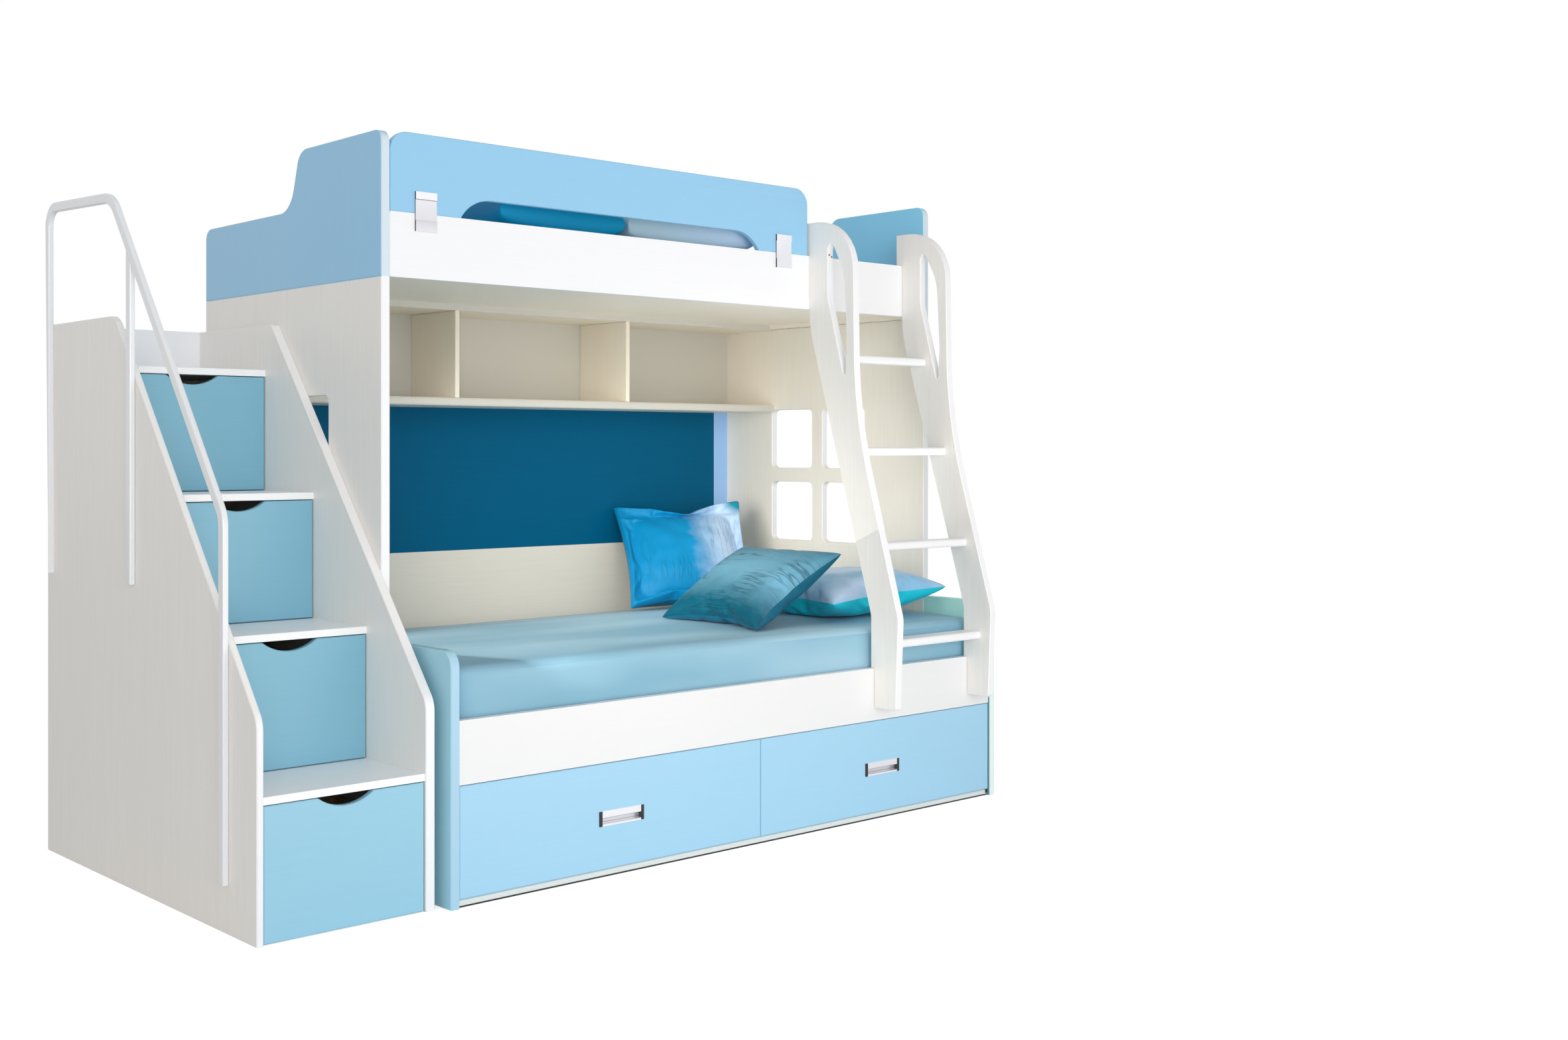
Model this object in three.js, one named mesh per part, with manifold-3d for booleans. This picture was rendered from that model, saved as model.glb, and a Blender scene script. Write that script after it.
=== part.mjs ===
// Bunk bed: two bunks between shared end boards, a stair cabinet with drawers at the foot end,
// a shelf unit under the upper bunk, and two drawers under the wider lower bunk.
// Millimetres. +X runs along the bed away from the stairs, +Y from the open side to the wall, +Z is up.
// Sizes are set in the bed's own frame: X from the foot end board's outer face, Y from the front
// of the upper bunk, Z from the floor. The finished group then stands on the middle of its box.

import * as THREE from "three";
import { mergeVertices } from "three/addons/utils/BufferGeometryUtils.js";
import Module from "manifold-3d";

const wasm = await Module();
wasm.setup();

// Boards
const board = 24; // end boards, rails and ladder stiles
const sheet = 18; // shelves, treads, drawer fronts and wall side sheets
const partition = 15; // shelf partitions and the base of the upper bunk
const cheek = 16; // outer side of the stair cabinet
const cabinetBack = 12; // back of the stair cabinet
const ease = 2; // chamfer of every sawn edge

// Clearances
const reveal = 2; // between a drawer front and the boards around it
const runnerPlay = 0.5; // between a drawer's runner and the board it slides along
const softGap = 0.3; // between a soft piece and what it lies on
const joint = 1; // between two boards that are hung side by side
const overrun = 5; // how far every cut runs past the piece it cuts

// Bed
const bunkLength = 1900; // clear length of the lower bunk
const upperDepth = 980; // end boards, front to back
const lowerFrontDepth = 270; // lower rail and drawer fronts, in front of the upper bunk
const wingLip = 5; // foot panel and head wing, in front of the lower rail
const whiteHeight = 1490; // end boards, where white changes to blue
const shoulderHeight = 203; // level part of the end boards at the wall, above the white
const crownStep = 155; // rise from there to the front
const crownLength = 420; // level part at the front of the end boards
const crownRun = 50; // slant between the two levels
const crownBulge = 50; // radius at the top of the slant
const crownHollow = 80; // radius at the foot of the slant
const crownNose = 32; // radius of the front corner
const crownTail = 30; // radius of the wall side corner
const wingHeight = 600; // foot panel and head wing
const wingRound = 40; // their front top corner

// Windows in the end boards, two columns by two rows
const windowWidth = 200;
const windowHeight = 202;
const windowBarY = 52; // upright bar between the columns
const windowBarZ = 48; // level bar between the rows
const windowStart = 264; // first column, from the front of the board
const windowSill = 755; // first row, from the floor
const windowRound = 18;
const windowCount = 2; // each way

// Upper bunk
const railHeight = 160;
const ladderOpening = 515; // from the guard to the right end board
const guardSheet = 20;
const guardRound = 48;
const gripFootInset = 200; // slot under the guard, from the guard's foot end
const gripHeadInset = 195; // and from its head end
const gripRise = 52;
const gripRun = 90; // length of the slot's rounded ends
const soffitLift = 13; // base board above the rail's lower edge
const cleatWidth = 24; // strips along the ends of the base board
const upperMattressThick = 112;
const mattressPlay = 4; // between a mattress and the boards around it

// Clips that hold the guard to the rail
const clipLength = 60;
const clipProud = 5;
const clipWaist = 3; // proud thickness of the middle band
const clipTop = 54; // above the rail's upper edge
const clipHead = 19; // height of the upper band
const clipBody = 52; // height of the middle band
const clipFoot = 27; // height of the lower band
const clipLeft = 93; // left clip, from the end board's outer face
const clipInset = 70; // right clip, from the guard's end

// Shelf unit and wall side
const shelfDepth = 253;
const shelfHeight = 303; // outside height under the base board
const shelfFloor = 24; // lower board
const shelfNose = 7; // radius of the lower board's front edges
const partitionAt = 625; // first partition, from the end board
const partitionPitch = 643;
const partitionCount = 2;
const backSill = 750; // lower edge of the deep blue sheet
const stripWidth = 64; // pale strip beside the deep blue sheet

// Lower bunk
const lowerRailBase = 286;
const lowerRailHeight = 151;
const slatTop = 400;
const slatThick = 20;
const slatCount = 14;
const slatWidth = 110;
const slatBeam = 60; // edge beams and middle beam
const lowerMattressThick = 158;
const mattressFall = 38; // how much lower its top lies at the wall
const mattressFallRun = 430; // stretch over which it falls
const mattressFallBend = 200; // radius where it starts to fall
const mattressRound = 36; // radius of a mattress edge
const mattressShoulder = 42; // radius of its long edges
const plinthHeight = 18;
const plinthSetback = 6;
const bedTrayDepth = 600;
const bedTrayHeight = 190;

// Recessed pulls of the bed drawers
const pullLength = 140;
const pullHeight = 38;
const pullCentre = 147; // from the floor
const pullFlange = 3; // overlap of its flange on the front
const pullProud = 2;
const pullDepth = 15;
const pullWall = 2;
const pullLip = 17; // upper lip that the fingers hook behind
const pullSeat = 0.3; // clearance in the hole of the front

// Drawers
const trayWall = 12;
const trayBase = 9;
const runnerSpace = 13; // between a tray and the board beside it
const runnerHeight = 35;
const runnerLift = 40; // above the tray's underside
const trayLift = 12; // tray above the lower edge of its front
const runnerBite = 1; // how far a runner is let into the tray wall

// Stair cabinet
const stairClear = 398; // between its two sides
const stairFront = 245; // its sides, in front of the upper bunk
const stairHeight = 1400;
const stepRise = 320;
const stepGoing = 268;
const stepCount = 4;
const nosingSetback = 5; // first tread behind the front of the sides
const slopeFoot = 484; // where the sides' slope starts
const slopeHead = 531; // where it ends, behind the front of the upper bunk
const slopeRound = 60;
const innerSlopeRound = 12; // upper end of the slope on the side next to the bed
const trayBackGap = 6; // behind the top drawer's tray
const stairTrayHeight = 200;
const notchWidth = 138;
const notchDrop = 24;

// Handrail, a flat tube on the outer side of the cabinet
const tubeWidth = 25;
const tubeThick = 14;
const tubeEase = 3;
const railTop = 1708; // centre line at the rear post
const railRear = 32; // centre line of the rear post, from the wall
const railBend = 522; // where the upper part starts to fall
const railBendHeight = 1691;
const railKneeAt = 98; // front post, in front of the upper bunk
const railKneeHeight = 920;
const railFoot = 110;
const rearFoot = 742;
const rearBendRadius = 50;
const frontBendRadius = 95;
const kneeRadius = 70;
const midPostAt = 412;

// Ladder
const stileGap = 383; // between the stiles
const stileTop = 98; // above the upper rail
const stileFirst = 6; // first stile, from the guard's end
const stileChest = 184; // depth at the top, in front of the upper bunk
const stileWaist = 193; // depth where the front edge starts to run out
const stileWaistHeight = 1169;
const stileWaistRadius = 1400;
const stileShoulder = 155; // radius of the top front corner
const stileKnee = 366; // depth at the knee
const stileKneeHeight = 585;
const stileKneeRadius = 90;
const stileToe = 355;
const stileToeRound = 8;
const stileBase = 322;
const stileHook = 13; // how far a stile rests on the lower rail
const stileBackKnee = 590;
const stileBackKneeRadius = 100;
const stileBackBend = 1435;
const stileBackRadius = 370;
const slotWidth = 79;
const slotHeight = 418;
const slotBase = 1272;
const slotBack = 79; // its rear edge, in front of the upper bunk
const rungDepth = 65;
const rungThick = 24;
const rungRound = 8;
const rungTop = 1353;
const rungPitch = 278;
const rungCount = 4;

// Pillows, set out on their mattress as shares of its length and width
const pillowSides = 16; // mesh steps across a pillow
const crownPower = 0.42; // how full a pillow is towards its seams
const pinchShare = 0.09; // how far its sides draw in between the corners
const sidePillowLength = 455;
const sidePillowWidth = 405;
const sidePillowThick = 135;
const frontPillowLength = 385;
const frontPillowWidth = 457;
const frontPillowThick = 136;
const headPillowLength = 505;
const headPillowWidth = 440;
const headPillowThick = 140;
const footPillowLength = 440;
const footPillowWidth = 380;
const footPillowThick = 140;
const midPillowLength = 470;
const midPillowWidth = 380;
const midPillowThick = 140;
const pillows = [
  {
    name: "pillow_a",
    length: sidePillowLength,
    width: sidePillowWidth,
    thickness: sidePillowThick,
    shares: [0.805, 0.83],
    lean: [53, -20, -13],
    upper: false,
    tint: 0x2a93bd,
  },
  {
    name: "pillow_b",
    length: frontPillowLength,
    width: frontPillowWidth,
    thickness: frontPillowThick,
    shares: [0.648, 0.2765],
    lean: [-1.8, -31.9, -3.7],
    upper: false,
    tint: 0x3a8ea4,
  },
  {
    name: "pillow_c",
    length: headPillowLength,
    width: headPillowWidth,
    thickness: headPillowThick,
    shares: [0.857, 0.288],
    lean: [0, -3, 0],
    upper: false,
    tint: 0x78b4dc,
  },
  {
    name: "upper_pillow_left",
    length: footPillowLength,
    width: footPillowWidth,
    thickness: footPillowThick,
    shares: [0.285, 0.235],
    lean: [0, 0, 4],
    upper: true,
    tint: 0x1d7fa6,
  },
  {
    name: "upper_pillow_right",
    length: midPillowLength,
    width: midPillowWidth,
    thickness: midPillowThick,
    shares: [0.535, 0.24],
    lean: [0, 0, -3],
    upper: true,
    tint: 0x8fb8e6,
  },
];

// Finishes
const arcSteps = 5;
const white = { color: 0xf2efea, roughness: 0.35 };
const cream = { color: 0xe9e2cd, roughness: 0.45 };
const sky = { color: 0xa3d2ee, roughness: 0.35 };
const paleSky = { color: 0xb4d8f4, roughness: 0.4 };
const deepBlue = { color: 0x07597a, roughness: 0.4 };
const railWhite = { color: 0xeceff0, roughness: 0.3 };
const chrome = { color: 0xc9ced3, roughness: 0.2, metalness: 1 };
const birch = { color: 0xd9c7a4, roughness: 0.6 };
const linen = { color: 0x6fabc0, roughness: 0.6 };

// Places that follow from the sizes above
const leftInner = board;
const lowerLeft = leftInner + board;
const lowerRight = lowerLeft + bunkLength;
const rightOuter = lowerRight + board;
const shoulderTop = whiteHeight + shoulderHeight;
const crownTop = shoulderTop + crownStep;
const wallInner = upperDepth - board;
const railBase = whiteHeight;
const railCrest = railBase + railHeight;
const baseBoardUnder = railBase + soffitLift;
const baseBoardTop = baseBoardUnder + partition;
const shelfTop = baseBoardUnder;
const shelfUnder = shelfTop - shelfHeight;
const shelfFront = wallInner - shelfDepth;
const wingFront = -lowerFrontDepth - wingLip;
const lowerRailCrest = lowerRailBase + lowerRailHeight;
const slatUnder = slatTop - slatThick;
const drawerSplit = (lowerLeft + lowerRight) / 2;
const cheekOuter = -board - stairClear - cheek;
const stairLeft = -board - stairClear;
const guardStart = leftInner + joint;
const guardEnd = lowerRight - ladderOpening;
const stileStarts = [guardEnd + stileFirst, guardEnd + stileFirst + board + stileGap];

function finish({ color, roughness, metalness = 0 }) {
  return new THREE.MeshStandardMaterial({ color, roughness, metalness });
}

function piece(group, name, geometry, look) {
  const mesh = new THREE.Mesh(geometry, finish(look));
  mesh.name = name;
  group.add(mesh);
  return mesh;
}

// A closed outline through corners given as [u, v, radius], each rounded by its own radius.
function rounded(corners, path = new THREE.Shape()) {
  const count = corners.length;
  corners.forEach(([u, v, radius = 0], i) => {
    if (!radius) {
      if (i) path.lineTo(u, v);
      else path.moveTo(u, v);
      return;
    }
    const corner = new THREE.Vector2(u, v);
    const [backU, backV] = corners[(i + count - 1) % count];
    const [nextU, nextV] = corners[(i + 1) % count];
    const back = new THREE.Vector2(backU, backV).sub(corner).normalize();
    const next = new THREE.Vector2(nextU, nextV).sub(corner).normalize();
    const half = Math.acos(back.dot(next)) / 2;
    const centre = back.clone().add(next).normalize().multiplyScalar(radius / Math.sin(half));
    centre.add(corner);
    const reach = radius / Math.tan(half);
    const start = back.clone().multiplyScalar(reach).add(corner).sub(centre);
    const end = next.clone().multiplyScalar(reach).add(corner).sub(centre);
    path.absarc(centre.x, centre.y, radius, start.angle(), end.angle(), start.cross(end) < 0);
  });
  path.closePath();
  return path;
}

function rectangle(u0, u1, v0, v1, radius = 0, path = new THREE.Shape()) {
  const corners = [
    [u0, v0, radius],
    [u1, v0, radius],
    [u1, v1, radius],
    [u0, v1, radius],
  ];
  return rounded(corners, path);
}

// The outline of a flat bar of one width along a bent centre line given as [u, v, bend radius].
function barOutline(line, width) {
  const half = width / 2;
  const side = (sign) =>
    line.map(([u, v, bend = 0], i) => {
      const here = new THREE.Vector2(u, v);
      const [backU, backV] = line[Math.max(i - 1, 0)];
      const [nextU, nextV] = line[Math.min(i + 1, line.length - 1)];
      const into = here.clone().sub(new THREE.Vector2(backU, backV)).normalize();
      const away = new THREE.Vector2(nextU, nextV).sub(here).normalize();
      const first = into.lengthSq() ? into : away;
      const second = away.lengthSq() ? away : into;
      const normal = new THREE.Vector2(-first.y, first.x);
      const mitre = normal.clone().add(new THREE.Vector2(-second.y, second.x)).normalize();
      const shift = (sign * half) / mitre.dot(normal);
      const radius = bend && bend - Math.sign(first.cross(second)) * sign * half;
      return [u + shift * mitre.x, v + shift * mitre.y, radius];
    });
  return rounded([...side(-1), ...side(1).reverse()]);
}

// Extrudes an outline by one axis, from low to high, with its sawn edges eased.
function extruded(shape, low, high, edge = ease, edgeSteps = 1) {
  const geometry = new THREE.ExtrudeGeometry(shape, {
    depth: high - low - 2 * edge,
    curveSegments: arcSteps,
    bevelEnabled: edge > 0,
    bevelThickness: edge,
    bevelSize: edge,
    bevelOffset: -edge,
    bevelSegments: edgeSteps,
  });
  return geometry.translate(0, 0, edge);
}

const along = {
  x: new THREE.Vector3(1, 0, 0),
  y: new THREE.Vector3(0, 1, 0),
  z: new THREE.Vector3(0, 0, 1),
};

// Outline in (Y, Z), thickness along X.
function acrossX(shape, low, high, edge, edgeSteps) {
  const turn = new THREE.Matrix4().makeBasis(along.y, along.z, along.x).setPosition(low, 0, 0);
  return extruded(shape, low, high, edge, edgeSteps).applyMatrix4(turn);
}

// Outline in (X, Z), thickness along Y.
function acrossY(shape, low, high, edge) {
  const towards = along.y.clone().negate();
  const turn = new THREE.Matrix4().makeBasis(along.x, along.z, towards).setPosition(0, high, 0);
  return extruded(shape, low, high, edge).applyMatrix4(turn);
}

// Outline in (X, Y), thickness along Z.
function acrossZ(shape, low, high, edge, edgeSteps) {
  return extruded(shape, low, high, edge, edgeSteps).translate(0, 0, low);
}

// A plain box between three pairs of coordinates.
function block([x0, x1], [y0, y1], [z0, z1]) {
  const unit = new THREE.BoxGeometry(1, 1, 1).translate(1 / 2, 1 / 2, 1 / 2);
  const size = new THREE.Matrix4().makeScale(x1 - x0, y1 - y0, z1 - z0);
  return unit.applyMatrix4(size.setPosition(x0, y0, z0));
}

function toSolid(geometry) {
  const bare = geometry.clone();
  bare.deleteAttribute("normal");
  bare.deleteAttribute("uv");
  const merged = mergeVertices(bare);
  const vertProperties = merged.attributes.position.array;
  const triVerts = new Uint32Array(merged.index.array);
  return new wasm.Manifold(new wasm.Mesh({ numProp: 3, vertProperties, triVerts }));
}

function toGeometry(solid) {
  const { vertProperties, triVerts } = solid.getMesh();
  const geometry = new THREE.BufferGeometry();
  geometry.setAttribute("position", new THREE.BufferAttribute(vertProperties, 3));
  geometry.setIndex(new THREE.BufferAttribute(triVerts, 1));
  const faceted = geometry.toNonIndexed();
  faceted.computeVertexNormals();
  return faceted;
}

// Stair cabinet

function stairSideOutline(headRound) {
  return rounded([
    [-stairFront, 0],
    [upperDepth, 0],
    [upperDepth, stairHeight],
    [slopeHead, stairHeight, headRound],
    [-stairFront, slopeFoot, slopeRound],
  ]);
}

function nosingAt(step) {
  return -stairFront + nosingSetback + step * stepGoing;
}

// Every tray is as deep as the one under the top tread, the shortest of them.
function stairTrayDepth() {
  return upperDepth - cabinetBack - trayBackGap - nosingAt(stepCount - 1) - sheet;
}

// A drawer front with a shallow finger notch cut down from its upper edge.
function notchedFront(width, height) {
  const notchHalf = notchWidth / 2;
  const notchRadius = (notchHalf ** 2 + notchDrop ** 2) / (2 * notchDrop);
  const middle = width / 2;
  const centre = height - notchDrop + notchRadius;
  const tilt = Math.atan2(height - centre, notchHalf);
  const outline = new THREE.Shape();
  outline.moveTo(0, 0);
  outline.lineTo(width, 0);
  outline.lineTo(width, height);
  outline.absarc(middle, centre, notchRadius, tilt, -Math.PI - tilt, true);
  outline.lineTo(0, height);
  outline.closePath();
  return acrossY(outline, 0, sheet);
}

// An open topped tray between two boards, with a runner let into each side.
function trayShell(clearWidth, depth, height) {
  const [x0, x1] = [runnerSpace, clearWidth - runnerSpace];
  const hollow = block(
    [x0 + trayWall, x1 - trayWall],
    [trayWall, depth - trayWall],
    [trayBase, height + overrun],
  );
  const shell = toSolid(block([x0, x1], [0, depth], [0, height])).subtract(toSolid(hollow));
  const runnerZ = [runnerLift, runnerLift + runnerHeight];
  const left = block([runnerPlay, x0 + runnerBite], [0, depth], runnerZ);
  const right = block([x1 - runnerBite, clearWidth - runnerPlay], [0, depth], runnerZ);
  return toGeometry(shell.add(toSolid(left)).add(toSolid(right)));
}

function buildStairs() {
  const stairs = new THREE.Group();
  const outer = acrossX(stairSideOutline(slopeRound), cheekOuter, stairLeft);
  piece(stairs, "stair_outer_side", outer, white);
  const inner = acrossX(stairSideOutline(innerSlopeRound), -board, 0);
  piece(stairs, "stair_inner_side", inner, white);
  const backFace = upperDepth - cabinetBack;
  const back = block([stairLeft, -board], [backFace, upperDepth], [0, stairHeight]);
  piece(stairs, "stair_back_panel", back, white);

  for (let step = 0; step < stepCount; step += 1) {
    const front = nosingAt(step);
    const floor = step * stepRise;
    const top = floor + stepRise;
    const number = step + 1;
    const treadOutline = rounded([
      [front, top - sheet, ease],
      [backFace, top - sheet],
      [backFace, top],
      [front, top, ease],
    ]);
    piece(stairs, `stair_tread_${number}`, acrossX(treadOutline, stairLeft, -board, 0), white);

    const drawer = new THREE.Group();
    drawer.position.set(stairLeft, front, floor);
    const frontWidth = stairClear - 2 * reveal;
    const frontHeight = stepRise - sheet - 2 * reveal;
    const face = notchedFront(frontWidth, frontHeight);
    piece(drawer, `stair_drawer_front_${number}`, face, sky).position.set(reveal, 0, reveal);
    const tray = trayShell(stairClear, stairTrayDepth(), stairTrayHeight);
    const trayMesh = piece(drawer, `stair_drawer_tray_${number}`, tray, birch);
    trayMesh.position.set(0, sheet, reveal + trayLift);
    stairs.add(drawer);
  }

  const line = [
    [upperDepth - railRear, rearFoot],
    [upperDepth - railRear, railTop, rearBendRadius],
    [railBend, railBendHeight, frontBendRadius],
    [-railKneeAt, railKneeHeight, kneeRadius],
    [-railKneeAt, railFoot],
  ];
  const tubeOuter = cheekOuter - tubeThick;
  const rail = acrossX(barOutline(line, tubeWidth), tubeOuter, cheekOuter, tubeEase, 2);
  piece(stairs, "handrail_tube", rail, railWhite);

  // The middle post stops under the falling part of the rail, cut to its slope.
  const slope = (railBendHeight - railKneeHeight) / (railBend + railKneeAt);
  const underside = (tubeWidth / 2 + softGap) * Math.hypot(1, slope);
  const underRail = (y) => railKneeHeight + slope * (y + railKneeAt) - underside;
  const postFront = midPostAt - tubeWidth / 2;
  const postBack = midPostAt + tubeWidth / 2;
  const post = rounded([
    [postFront, rearFoot],
    [postBack, rearFoot],
    [postBack, underRail(postBack)],
    [postFront, underRail(postFront)],
  ]);
  const postGeometry = acrossX(post, tubeOuter, cheekOuter, tubeEase, 2);
  piece(stairs, "handrail_mid_post", postGeometry, railWhite);
  return stairs;
}

// End boards

function lowerEndOutline() {
  const outline = rectangle(0, upperDepth, 0, whiteHeight);
  for (let column = 0; column < windowCount; column += 1) {
    for (let row = 0; row < windowCount; row += 1) {
      const y = windowStart + column * (windowWidth + windowBarY);
      const z = windowSill + row * (windowHeight + windowBarZ);
      const hole = new THREE.Path();
      rectangle(y, y + windowWidth, z, z + windowHeight, windowRound, hole);
      outline.holes.push(hole);
    }
  }
  return outline;
}

function upperEndOutline() {
  return rounded([
    [0, whiteHeight],
    [upperDepth, whiteHeight],
    [upperDepth, shoulderTop, crownTail],
    [crownLength + crownRun, shoulderTop, crownHollow],
    [crownLength, crownTop, crownBulge],
    [0, crownTop, crownNose],
  ]);
}

function buildEnds() {
  const ends = new THREE.Group();
  const sides = [
    ["left", 0, leftInner],
    ["right", lowerRight, rightOuter],
  ];
  for (const [side, low, high] of sides) {
    piece(ends, `${side}_end_lower`, acrossX(lowerEndOutline(), low, high), white);
    piece(ends, `${side}_end_upper`, acrossX(upperEndOutline(), low, high), sky);
  }
  const wing = (back) =>
    rounded([
      [wingFront, 0],
      [back, 0],
      [back, wingHeight],
      [wingFront, wingHeight, wingRound],
    ]);
  piece(ends, "foot_panel", acrossX(wing(wallInner), leftInner, lowerLeft), sky);
  piece(ends, "head_wing", acrossX(wing(0), lowerRight, rightOuter), sky);
  return ends;
}

// Upper bunk

function guardOutline() {
  const gripTop = railCrest + gripRise;
  const endRadius = (gripRun ** 2 + gripRise ** 2) / (2 * gripRise);
  const sweep = Math.asin(gripRun / endRadius);
  const gripLeft = guardStart + gripFootInset;
  const gripRight = guardEnd - gripHeadInset;
  const outline = new THREE.Shape();
  outline.moveTo(guardStart, railCrest);
  outline.lineTo(gripLeft, railCrest);
  const centre = gripTop - endRadius;
  const upright = Math.PI / 2;
  outline.absarc(gripLeft + gripRun, centre, endRadius, upright + sweep, upright, true);
  outline.absarc(gripRight - gripRun, centre, endRadius, upright, upright - sweep, true);
  outline.lineTo(guardEnd, railCrest);
  const crown = crownTop - guardRound;
  outline.absarc(guardEnd - guardRound, crown, guardRound, 0, upright, false);
  outline.absarc(guardStart + guardRound, crown, guardRound, upright, Math.PI, false);
  outline.closePath();
  return outline;
}

function clipOutline() {
  const top = railCrest + clipTop;
  const waistTop = top - clipHead;
  const waistBase = waistTop - clipBody;
  return rounded([
    [0, top],
    [-clipProud, top],
    [-clipProud, waistTop],
    [-clipWaist, waistTop],
    [-clipWaist, waistBase],
    [-clipProud, waistBase],
    [-clipProud, waistBase - clipFoot],
    [0, waistBase - clipFoot],
  ]);
}

// A mattress: its section with soft edges, run along the bunk. Its top may fall towards the wall.
function mattress(x, y, z, fall = 0) {
  const [front, back] = [y[0] + mattressPlay, y[1] - mattressPlay];
  const [under, top] = [z[0] + softGap, z[1]];
  const crest = fall ? [[back - mattressFallRun, top, mattressFallBend]] : [];
  const section = rounded([
    [front, under, mattressShoulder],
    [back, under, mattressShoulder],
    [back, top - fall, mattressShoulder],
    ...crest,
    [front, top, mattressShoulder],
  ]);
  return acrossX(section, x[0] + mattressPlay, x[1] - mattressPlay, mattressRound, 4);
}

function buildUpperBunk() {
  const bunk = new THREE.Group();
  const rail = (y) => acrossX(rectangle(y, y + board, railBase, railCrest), leftInner, lowerRight);
  piece(bunk, "upper_front_rail", rail(0), white);
  piece(bunk, "upper_rear_rail", rail(wallInner), white);
  piece(bunk, "guard_panel", acrossY(guardOutline(), 0, guardSheet), sky);
  const clipStarts = { left: clipLeft, right: guardEnd - clipInset - clipLength };
  for (const [side, start] of Object.entries(clipStarts)) {
    const clip = acrossX(clipOutline(), start, start + clipLength, 0);
    piece(bunk, `guard_clip_${side}`, clip, chrome);
  }
  const sheetSolid = toSolid(
    block([leftInner, lowerRight], [board, wallInner], [baseBoardUnder, baseBoardTop]),
  );
  const cleat = (x0) =>
    toSolid(block([x0, x0 + cleatWidth], [board, shelfFront], [railBase, baseBoardTop]));
  const base = sheetSolid.add(cleat(leftInner)).add(cleat(lowerRight - cleatWidth));
  piece(bunk, "upper_base_board", toGeometry(base), cream);
  const cushion = mattress(
    [leftInner, lowerRight],
    [board, wallInner],
    [baseBoardTop, baseBoardTop + upperMattressThick],
  );
  piece(bunk, "upper_mattress", cushion, linen);
  return bunk;
}

// Shelf unit under the upper bunk, and the boards on the wall side of the lower bunk

function buildWallSide() {
  const side = new THREE.Group();
  const boardTop = rectangle(shelfFront, wallInner, shelfTop - sheet, shelfTop);
  piece(side, "shelf_top_board", acrossX(boardTop, leftInner, lowerRight, 0), cream);
  const floorTop = shelfUnder + shelfFloor;
  const boardFloor = rounded([
    [shelfFront, shelfUnder, shelfNose],
    [wallInner, shelfUnder],
    [wallInner, floorTop],
    [shelfFront, floorTop, shelfNose],
  ]);
  piece(side, "shelf_bottom_board", acrossX(boardFloor, leftInner, lowerRight, 0), cream);
  for (let i = 0; i < partitionCount; i += 1) {
    const x = leftInner + partitionAt + i * partitionPitch;
    const upright = rectangle(shelfFront, wallInner, floorTop, shelfTop - sheet);
    piece(side, `shelf_partition_${i + 1}`, acrossX(upright, x, x + partition, ease), cream);
  }

  const wallSheet = [wallInner, wallInner + sheet];
  const shelfBack = block([leftInner, lowerRight], wallSheet, [shelfUnder, railBase]);
  piece(side, "shelf_back_board", shelfBack, cream);
  const stripStart = lowerRight - stripWidth;
  const deep = block([leftInner, stripStart], wallSheet, [backSill, shelfUnder]);
  piece(side, "back_panel", deep, deepBlue);
  const strip = block([stripStart, lowerRight], wallSheet, [backSill, shelfUnder]);
  piece(side, "back_strip", strip, paleSky);
  const railOutline = rectangle(wallInner, upperDepth, lowerRailBase, backSill);
  piece(side, "lower_back_rail", acrossX(railOutline, leftInner, lowerRight), white);
  return side;
}

// Lower bunk

// A slatted base: one board with a row of gaps on each side of its middle beam.
function slatBase(y0, y1) {
  const thickness = [slatUnder, slatTop];
  const through = [slatUnder - overrun, slatTop + overrun];
  const pitch = (bunkLength - slatWidth) / (slatCount - 1);
  const middle = (y0 + y1) / 2;
  const halves = [
    [y0 + slatBeam, middle - slatBeam / 2],
    [middle + slatBeam / 2, y1 - slatBeam],
  ];
  let base = toSolid(block([lowerLeft, lowerRight], [y0, y1], thickness));
  for (let i = 0; i < slatCount - 1; i += 1) {
    const start = lowerLeft + slatWidth + i * pitch;
    for (const half of halves) {
      base = base.subtract(toSolid(block([start, start + pitch - slatWidth], half, through)));
    }
  }
  return toGeometry(base);
}

// A finger pull let into a drawer front: a channel whose upper lip hangs over its recess.
function pullGeometry(centreX, frontY) {
  const half = pullLength / 2;
  const low = pullCentre - pullHeight / 2;
  const high = pullCentre + pullHeight / 2;
  const inner = pullFlange + pullSeat;
  const x = [centreX - half, centreX + half];
  const flange = block(x, [frontY - pullProud, frontY], [low, high]);
  const body = block(
    [x[0] + inner, x[1] - inner],
    [frontY - pullProud, frontY + pullDepth],
    [low + inner, high - inner],
  );
  const wall = inner + pullWall;
  const mouth = block(
    [x[0] + wall, x[1] - wall],
    [frontY - pullProud - overrun, frontY + pullDepth - pullWall],
    [low + wall, high - pullLip],
  );
  const pocket = block(
    [x[0] + wall, x[1] - wall],
    [frontY + pullWall, frontY + pullDepth - pullWall],
    [low + wall, high - wall],
  );
  const hollow = toSolid(mouth).add(toSolid(pocket));
  return toGeometry(toSolid(flange).add(toSolid(body)).subtract(hollow));
}

function bedDrawerFront(x0, x1, y) {
  const outline = rectangle(x0, x1, plinthHeight + reveal, lowerRailBase - reveal);
  const middle = (x0 + x1) / 2;
  const halfLength = pullLength / 2 - pullFlange;
  const halfHeight = pullHeight / 2 - pullFlange;
  const hole = rectangle(
    middle - halfLength,
    middle + halfLength,
    pullCentre - halfHeight,
    pullCentre + halfHeight,
    0,
    new THREE.Path(),
  );
  outline.holes.push(hole);
  return acrossY(outline, y, y + sheet);
}

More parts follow.
